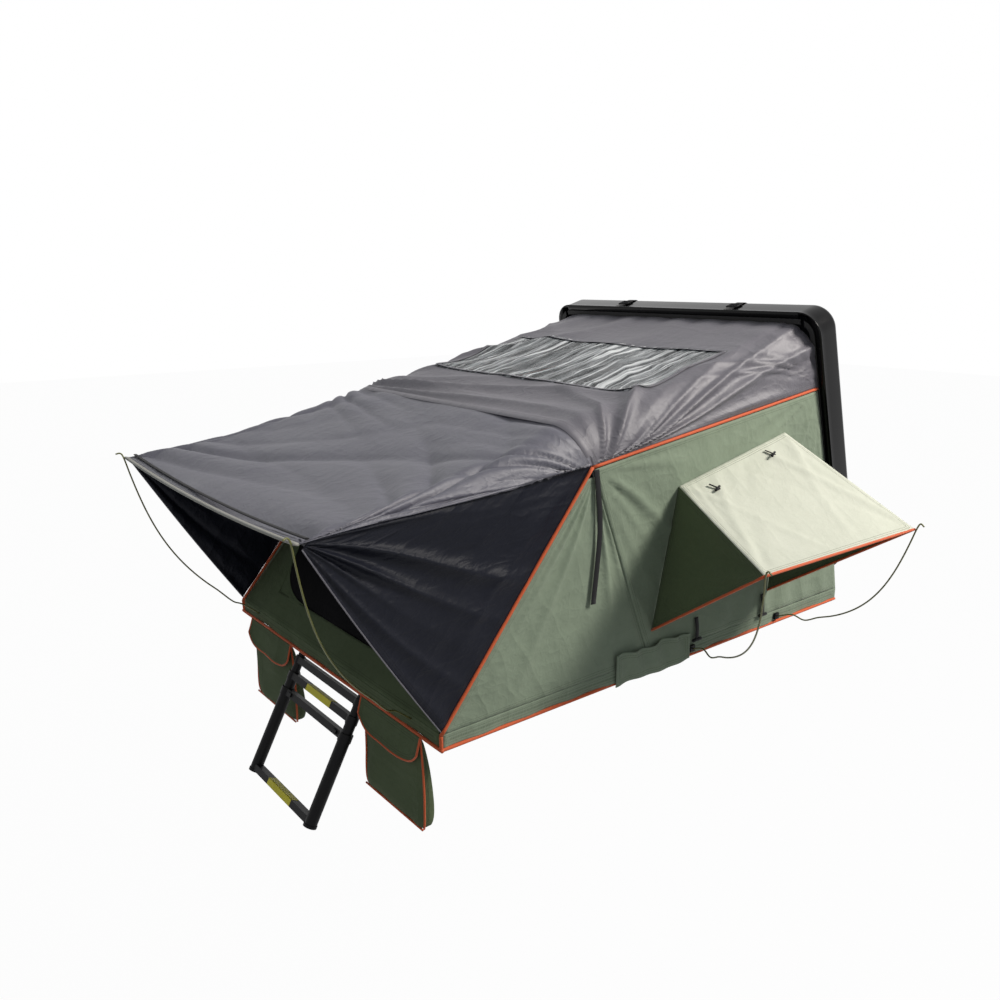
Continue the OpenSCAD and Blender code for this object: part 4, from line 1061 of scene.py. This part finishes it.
rodLook = {
    "radius": 0.0028, "hoodFeet": [-0.392, 0.124], "footZ": 0.042,
    # push of the arc, kinks near the foot, hook at the tip, body, joint that it gives way to, share kept
    "hood": ((0.085, 0, -0.095), ((0.004, 0, 0.012), (0.0, 0, -0.010)),
             ((0.016, (0.006, 0, 0.004)), (0.014, (0.020, 0, -0.002))), "base", "lid_hinge", 0.05),
    "awning": ((0, -0.075, -0.050), ((0.0, -0.010, 0.010), (0.0, 0.004, -0.012)),
               ((0, (0.002, -0.010, 0.016)), (0, (0.008, -0.024, 0.014))), "panel", "panel_fold", 0.04),
}


def makeRod(name, kind, foot, tip, flip, node):
    push, kinks, hook, body, joint, keep = rodLook[kind]
    t = np.linspace(0, 1, 14)[:, None]
    arc = mix(foot, tip, t) + np.asarray(push) * np.sin(np.pi * t)
    arc[1:3] += np.array(kinks)
    way = (tip - arc[-2]) / np.linalg.norm(tip - arc[-2])
    path = smoothPath([*arc, *(tip + way * along + np.array(aside) for along, aside in hook)], 6)
    rod = sweepGroup(name, [(path * flip, ringSection(rodLook["radius"]))], hard["springRod"])
    if node:
        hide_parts(node)
    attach(rod, body)
    chord = (tip - foot) / np.linalg.norm(tip - foot)
    tuple(chord * flip)
    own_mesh(rod)


def makeRods(side, label):
    flip = np.array([side, 1, 1])
    for k, end in ((0, "Front"), (1, "Rear")):
        foot = np.array([hemX + 0.013, rodLook["hoodFeet"][k], rodLook["footZ"]])
        tip = tips[k] + (0.0064, (2 * k - 1) * 0.0039, 0.0025)
        node = "hood_rods_" + label.lower() if k == 0 else None
        makeRod("hoodRod" + end + label, "hood", foot, tip, flip, node)
    foot = np.array([tent["halfWidth"] - 0.14, hemY - 0.0005, floorZ - 0.008])
    tip = awningCorner + (-0.004, -0.0169, 0.003)
    makeRod("awningRod" + label, "awning", foot, tip, flip, "awning_rods" if side > 0 else None)


onBothSides(makeRods)
print("rods made")


# straps and ties on the walls

strapLook = {"band": (0.022, 0.0022), "tieY": (-0.375, 0.02), "tieBand": (0.018, 0.0024), "tieBar": 0.006}


def makeStraps(side, label):
    flip, out = np.array([side, 1, 1]), (side, 0, 0)
    top = bowCorner + np.array([0.006, 0.012, -0.008])
    hang = top + np.array([(0, 0, 0), (0.007, 0.002, -0.06), (0.012, 0.010, -0.2), (0.013, -0.012, -0.44)])
    strapRun = (smoothPath(hang, 8) * flip, bandSection(*strapLook["band"]), out)
    strap = sweepGroup("bowStrap" + label, [strapRun], cloth["blackWebbing"])
    rideShell(strap)
    ties, x = [], hemX + 0.006
    for y in strapLook["tieY"]:
        hang = smoothPath([(x, y, 0.158), (x + 0.006, y, 0.12), (x + 0.008, y, 0.078)], 6)
        bar = np.linspace((x + 0.008, y - 0.022, 0.074), (x + 0.008, y + 0.022, 0.074), 4)
        ties.append((hang * flip, bandSection(*strapLook["tieBand"]), out))
        ties.append((bar * flip, ringSection(strapLook["tieBar"])))
    tie = sweepGroup("windowTies" + label, ties, cloth["blackWebbing"])
    rideShell(tie)


onBothSides(makeStraps)
print("straps made")


# shoe bags: a sagging pouch, a front flap and orange binding

bagLook = {
    "inner": 0.262, "width": 0.360, "points": 64, "binding": 0.0035,
    "flapHalf": 0.176, "flapDrop": 0.104, "flapThick": 0.002,
    # drop, width, depth and set-back of each level
    "levels": ((0.0, 0.340, 0.010, 0.0), (0.02, 0.344, 0.018, 0.004), (0.06, 0.348, 0.030, 0.010),
               (0.12, 0.352, 0.042, 0.016), (0.19, 0.356, 0.052, 0.020), (0.25, 0.360, 0.060, 0.021),
               (0.29, 0.358, 0.060, 0.021), (0.312, 0.346, 0.050, 0.020), (0.322, 0.330, 0.034, 0.020)),
}


def makeBag(side, label):
    cx, zTop = side * (bagLook["inner"] + bagLook["width"] / 2), hemZ - 0.0030
    levels, count, points = bagLook["levels"], bagLook["points"], []
    for drop, wide, deep, back in levels:
        for a in 2 * math.pi * np.arange(count) / count:
            ca, sa = math.cos(a), math.sin(a)
            sx = math.copysign(abs(ca) ** 0.28, ca) * wide / 2
            sy = math.copysign(abs(sa) ** 0.5, sa) * deep / 2
            q = Vector((cx + sx, hemY + back + sy, zTop - drop))
            wave = 0.004 * math.sin(q.x * 38 + drop * 20) * min(1, drop / 0.1)
            crumple = 0.006 * noise.noise(q * 9.0) + wave
            q.y += crumple * min(1.0, drop / 0.05) * (1.0 if sy < 0 else 0.5)
            points.append(tuple(q))
    caps = [tuple(range(count)), tuple(range(len(points) - 1, len(points) - count - 1, -1))]
    faces = [turnedOver(face) for face in loftFaces(len(levels), count)] + caps
    uv = [(k / count * 0.85, level[0]) for level in levels for k in range(count)]
    # painted shade: the shoe bags wear the darker copy of the wall canvas
    bag = makeObject("shoeBag" + label, points, faces, cloth["paintedShadeCanvas"], uv)
    soften = bag.modifiers.new("soften", "SUBSURF")
    soften.levels = soften.render_levels = 1
    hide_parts("shoe_bag_" + label.lower())
    # flap over the front, longer at its middle
    v, u = grid((0, 1, 20), (-1, 1, 50))
    y = hemY - 0.0062 - 0.016 * v - 0.002 * np.sin(u * 6) * v
    drop = v * (bagLook["flapDrop"] - 0.050 * np.abs(u) ** 5)
    p = np.stack([cx + u * bagLook["flapHalf"], y, zTop + 0.002 - drop], axis=-1)
    p[..., 1] -= 0.004 * softNoise(p, 8.0, 81.0 + side) * v
    flap = clothSheet("bagFlap" + label, [p], bagLook["flapThick"], cloth["paintedShadeCanvas"])
    "shoeBag" + label
    lines = [np.concatenate([p[0, :, :], p[:, -1, :], p[-1, ::-1, :]])]
    for end in (-1, 1):
        seam = [(cx + end * (w / 2 - 0.003), hemY + b - 0.3 * d, zTop - z) for z, w, d, b in levels]
        lines.append(smoothPath(seam, 4))
    z, w, d, b = levels[-2]
    y, z = hemY + b - d * 0.45, zTop - z - 0.004
    lines.append(np.linspace((cx - w / 2, y, z), (cx + w / 2, y, z), 16))
    ring = ringSection(bagLook["binding"], 8)
    binding = sweepGroup("bagBinding" + label, [(line, ring) for line in lines], cloth["orangePiping"])
    for piece in (bag, flap, binding):
        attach(piece, "panel")
        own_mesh(piece)


onBothSides(makeBag)
print("shoe bags made")


# mattress halves: crowned foam with drawn-in sides

mattressLook = {
    "half": 0.634, "height": 0.040, "rear": (-0.540, 0.515), "front": (-1.445, -0.630),
    "drawIn": 0.010, "tuft": 0.0035, "rows": 60, "cols": 48,
}


def makeMattress(name, y0, y1, node, body):
    nu, nv, middle = mattressLook["rows"], mattressLook["cols"], (y0 + y1) / 2
    v, u = grid((-1, 1, nv), (-1, 1, nu))
    x, y = u * (mattressLook["half"] - 0.004), middle + v * ((y1 - y0) / 2 - 0.004)
    crown = fadeIn(1 - np.abs(u) ** 10, 1 - np.abs(v) ** 10)
    tuft = mattressLook["tuft"] * np.cos(x * 21) * np.cos(y * 21)
    z = floorZ + 0.0185 + (mattressLook["height"] - 0.024) * crown ** 0.5 + tuft * crown
    inward = 1 - mattressLook["drawIn"]
    low = np.stack([x * inward, middle + (y - middle) * inward, np.full(u.shape, floorZ + 0.0008)], axis=-1)
    verts = np.concatenate([np.stack([x, y, z], axis=-1).reshape(-1, 3), low.reshape(-1, 3)])
    uv = np.tile(np.stack([x, y], axis=-1).reshape(-1, 2), (2, 1))
    faces = [turnedOver(face) for face in slabFaces(nu, nv)]
    pad = makeObject(name, verts, faces, cloth["mattressCover"], uv)
    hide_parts(node)
    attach(pad, body)


makeMattress("mattressRear", *mattressLook["rear"], "mattress_rear", "base")
makeMattress("mattressFront", *mattressLook["front"], "mattress_front", "panel")
print("mattress made")


# hard shell, drawn closed and then stood open: profiles in millimetres out and up from the rim

shellLook = {
    "side": 0.735, "near": -0.582, "far": 0.548, "corner": 0.090, "rim": 0.130, "notch": (0.664, 0.018),
    "outside": ((-43.0, 0.0), (3.2, 0.0), (4.0, 0.8), (4.0, 4.2), (3.2, 5.0), (1.2, 5.0), (0.3, 5.6),
                (0.0, 7.0), (0.0, 30.0), (-0.6, 60.0), (-1.0, 98.0)),
    "bend": 30, "crown": ((-60.0, 129.2), (-88.0, 129.8)),
    "inside": ((-88.0, 125.8), (-36.0, 125.4), (-22.0, 121.0), (-9.0, 110.0), (-5.0, 96.0), (-4.0, 60.0),
               (-4.0, 7.0), (-5.0, 5.0), (-43.0, 5.0)),
    "rib": ((-0.045, 0.1285), (-0.036, 0.1328), (0.0, 0.1338), (0.036, 0.1328), (0.045, 0.1285)),
    "strapX": 0.42, "strap": ((0.060, 0.1318), (0.034, 0.1305), (0.010, 0.120), (-0.0008, 0.098),
                              (-0.001, 0.06), (-0.001, 0.020), (-0.001, 0.007)),
    "strapBand": (0.038, 0.0022), "buckleBars": (0.040, 0.056, 0.072), "buckleHalf": 0.025,
}


def shellRing(grow, height, steps=14):
    half, y0, y1 = shellLook["side"] + grow, shellLook["near"] - grow, shellLook["far"] + grow
    r = max(shellLook["corner"] + grow, 0.004)
    corners = ((half - r, y1 - r), (-half + r, y1 - r), (-half + r, y0 + r), (half - r, y0 + r))
    out = []
    for quarter, (cx, cy) in enumerate(corners):
        for a in np.radians(90 * quarter + 90 * np.arange(steps + 1) / steps):
            out.append((cx + r * math.cos(a), cy + r * math.sin(a), shellLook["rim"] + height))
    return np.array(out)


def standOpen(points):
    p = np.asarray(points, dtype=float)
    (axisY, axisZ), y, z = tent["lidAxis"], p[:, 1] - tent["lidAxis"][0], p[:, 2] - tent["lidAxis"][1]
    return np.stack([p[:, 0], axisY + y * openCos + z * openSin, axisZ - y * openSin + z * openCos], axis=1)


def makeShell():
    bend, (bendX, bendZ) = shellLook["bend"], shellLook["outside"][-1]
    turns = np.radians(9 * np.arange(1, 11))
    arc = [(bendX - bend * (1 - math.cos(a)), bendZ + bend * math.sin(a)) for a in turns]
    outside = [*shellLook["outside"], *arc, *shellLook["crown"]]
    rings = [shellRing(g / 1000, h / 1000) for g, h in (*outside, *shellLook["inside"])]
    near, (notch, notchHalf) = shellLook["near"], shellLook["notch"]
    for ring in (rings[0], rings[-1]):  # notches in the flange over the bow's feet
        over = (np.abs(np.abs(ring[:, 0]) - notch) < notchHalf) & (ring[:, 1] < near + 0.12)
        ring[over, 1] = near + 0.007
    count, split = len(rings[0]), len(outside) * len(rings[0])
    last = (len(rings) - 1) * count
    faces = loftFaces(len(outside), count) + loftFaces(len(shellLook["inside"]), count, split)
    faces += [(last + k, last + (k + 1) % count, (k + 1) % count, k) for k in range(count)]
    faces += [tuple(range(split - count, split)), tuple(range(split + count - 1, split - 1, -1))]
    shell = makeObject("hardShell", standOpen(np.concatenate(rings)), faces, hard["shellGloss"])
    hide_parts("lid_shell")
    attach(shell, "lid")


def makeRibs():  # pressed ribs on the shell's back
    near, far, rim, section = (shellLook[k] for k in ("near", "far", "rim", "rib"))
    ys = np.concatenate([[near + 0.12], np.linspace(near + 0.13, far - 0.13, 12), [far - 0.12]])
    flat, verts, faces = section[0][1], [], []
    for k in range(-2, 3):
        x = k * shellLook["side"] / 3.2
        faces += loftFaces(len(ys), len(section), len(verts), False)
        for y in ys:
            lift = 0.0 if y in (ys[0], ys[-1]) else 1.0
            verts += [(x + dx, y, rim + flat + (z - flat) * lift) for dx, z in section]
    ribs = makeObject("shellRibs", standOpen(verts), faces, hard["shellGloss"])
    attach(ribs, "lid")


def makeClosingStraps():  # webbing straps over the front edge, each with a ladder-lock buckle
    strapRuns, buckleRuns, rim, half = [], [], shellLook["rim"], shellLook["buckleHalf"]
    for x in (-shellLook["strapX"] * shellLook["side"], shellLook["strapX"] * shellLook["side"]):
        y = shellLook["near"] - 0.0016
        strap = smoothPath([(x, y + dy, rim + dz) for dy, dz in shellLook["strap"]], 6)
        strapRuns.append((standOpen(strap), bandSection(*shellLook["strapBand"]), (0, 1, 0.3)))
        y = y - 0.0036
        for lift in shellLook["buckleBars"]:
            bar = np.linspace((x - half, y, rim + lift), (x + half, y, rim + lift), 4)
            buckleRuns.append((standOpen(bar), bandSection(0.007, 0.005)))
        for dx in (-0.024, 0.024):
            post = np.linspace((x + dx, y, rim + 0.036), (x + dx, y, rim + 0.076), 4)
            buckleRuns.append((standOpen(post), bandSection(0.006, 0.006)))
    straps = sweepGroup("closingStraps", strapRuns, cloth["blackWebbing"])
    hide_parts("closing_straps")
    buckles = sweepGroup("strapBuckles", buckleRuns, hard["blackTrim"])
    for piece in (straps, buckles):
        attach(piece, "lid")


makeShell()
makeRibs()
makeClosingStraps()
print("shell made")


# warning tape on two rungs of the ladder

ladderLook = {"pivot": (-1.470, 0.010), "lean": 27.8, "tapeHalf": 0.09, "steps": 13,
              "tapes": (("Foot", 0.467, 0.017, "ladder_4"), ("Upper", 0.108, 0.015, "ladder_3"))}


def downLadder(x, y, s):
    lean, (pivotY, pivotZ) = math.radians(ladderLook["lean"]), ladderLook["pivot"]
    along, aside = math.cos(lean), math.sin(lean)
    return x, pivotY + y * along - s * aside, pivotZ - s * along - y * aside


def makeLadderTape(label, s, depth, body):
    steps = ladderLook["steps"]
    xs = np.linspace(-ladderLook["tapeHalf"], ladderLook["tapeHalf"], steps)
    front, low = -depth - 0.0006, s - 0.0126
    loop = ((front, s + 0.0115), (front, s - 0.0115), (-depth + 0.002, low), (depth - 0.004, low))
    layers = ((0, 0), (0.0005, 0.0004))
    verts = [downLadder(x, y + dy, t + dt) for dy, dt in layers for x in xs for y, t in loop]
    back = loftFaces(steps, len(loop), steps * len(loop), False)
    faces = loftFaces(steps, len(loop), 0, False) + [turnedOver(face) for face in back]
    tape = makeObject("rungTape" + label, verts, faces, hard["warningTape"], smooth=False)
    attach(tape, body)


for look in ladderLook["tapes"]:
    makeLadderTape(*look)
print("ladder tape made")


# finishes of the solids that stay in view

solidFinish = {
    "rimAlloy": ["mounting_rails", "base_frame", "panel_frame", "main_bow"],
    "plainSteel": ["rail_bolts", "lid_hinge_base_leaves", "lid_hinge_pins", "lid_hinge_lid_leaves",
                   "fold_hinge_base_plates", "fold_hinge_panel_plates", "fold_hinge_pins",
                   "strut_base_brackets", "strut_lid_brackets", "bow_brackets", "bow_pins", "ladder_bracket"],
    "floorBoard": ["base_panel", "fold_panel"],
    "blackTrim": ["base_keder_rails", "panel_keder_rails", "hood_rod_sockets",
                  "ladder_button_left", "ladder_button_right"],
    "rubberSeal": ["lid_seal"],
    "strutPaint": ["strut_tube_left", "strut_tube_right"],
    "strutChrome": ["strut_rod_left", "strut_rod_right"],
    "ladderAlloy": ["ladder_head", "ladder_section_2", "ladder_section_3", "ladder_section_4"],
}
edgeLook = {"width": 0.0012, "segments": 2, "angle": 40}


def setFinish(solid, finish):
    solid.data.materials.clear()
    solid.data.materials.append(finish)


def dressSolids():
    for finish, names in solidFinish.items():
        for name in names:
            setFinish(nodes[name], hard[finish])
            bevel = nodes[name].modifiers.new("softEdge", "BEVEL")
            bevel.width = edgeLook["width"]
            bevel.segments = edgeLook["segments"]
            bevel.limit_method = "ANGLE"
            bevel.angle_limit = math.radians(edgeLook["angle"])
    setFinish(nodes["lid_liner"], cloth["mattressCover"])


dressSolids()
print("solids dressed")


# studio

studioLook = {
    "floorZ": -1.9, "floorHalf": 30, "floorTone": 0.42, "floorWhite": 0.975,
    "worldTint": (0.86, 0.93, 1.0, 1), "worldFill": 0.24, "lampTint": (1.0, 0.95, 0.89),
    # place, aim, size and power
    "lamps": {
        "keyLight": ((3.9, 2.5, 4.3), (0, -0.5, 0.4), 1.6, 370),
        "fillLight": ((3.4, -4.2, 2.0), (0, -0.6, 0.3), 2.5, 12),
    },
}
cameraLook = {
    "sensor": 36.0, "lens": 31.85, "place": (2.653, -2.809, 1.348),
    "heading": (-0.7846, 0.6200), "pitch": 13.96,
}


def addToScene(name, data):
    thing = bpy.data.objects.new(name, data)
    bpy.context.scene.collection.objects.link(thing)
    return thing


def whiteToCamera(tree):  # seen white, lights plainly
    path = addNode(tree, "LightPath", {}).outputs
    mirror = wire(path["Is Glossy Ray"]).calc("MAXIMUM", wire(path["Is Transmission Ray"]))
    return wire(path["Is Camera Ray"]).calc("MAXIMUM", mirror)


def makeStudio():
    world = bpy.data.worlds.new("studio")
    bpy.context.scene.world = world
    world.use_nodes = True
    tree = world.node_tree
    tree.nodes.clear()
    soft = addNode(tree, "Background", {0: studioLook["worldTint"], 1: studioLook["worldFill"]}, 0)
    white = addNode(tree, "Background", {0: (1, 1, 1, 1), 1: 1.0}, 0)
    pick = addNode(tree, "MixShader", {0: whiteToCamera(tree), 1: soft, 2: white}, 0)
    addNode(tree, "OutputWorld", {0: pick})
    half, z, tone = (studioLook[k] for k in ("floorHalf", "floorZ", "floorTone"))
    floorMesh = bpy.data.meshes.new("studioFloor")
    corners = [(x * half, y * half, z) for x, y in ((-1, -1), (1, -1), (1, 1), (-1, 1))]
    floorMesh.from_pydata(corners, [], [(0, 1, 2, 3)])
    floor = addToScene("studioFloor", floorMesh)
    material, tree, shader = startMaterial("paleFloor")
    plug(shader, {"Base Color": (tone, tone, tone, 1), "Roughness": 0.9})
    glow = addNode(tree, "Emission", {1: 1.0}, 0)
    share = whiteToCamera(tree) * studioLook["floorWhite"]
    blend = addNode(tree, "MixShader", {0: share, 1: wire(shader.outputs[0]), 2: glow}, 0)
    plug(tree.nodes["Material Output"], {"Surface": blend})
    floorMesh.materials.append(material)
    for name, (place, aim, size, power) in studioLook["lamps"].items():
        lamp = bpy.data.lights.new(name, "AREA")
        lamp.size, lamp.energy, lamp.color = size, power, studioLook["lampTint"]
        holder = addToScene(name, lamp)
        holder.location = place
        holder.rotation_euler = (Vector(aim) - Vector(place)).to_track_quat("-Z", "Y").to_euler()


def makeCamera():
    lens = bpy.data.cameras.new("photoCamera")
    lens.sensor_width, lens.lens = cameraLook["sensor"], cameraLook["lens"]
    camera = addToScene("photoCamera", lens)
    camera.location = cameraLook["place"]
    pitch, (headX, headY) = math.radians(cameraLook["pitch"]), cameraLook["heading"]
    look = Vector((headX * math.cos(pitch), headY * math.cos(pitch), -math.sin(pitch)))
    camera.rotation_euler = look.to_track_quat("-Z", "Y").to_euler()
    bpy.context.scene.camera = camera


makeStudio()
makeCamera()
bpy.context.scene.view_settings.view_transform = "Standard"
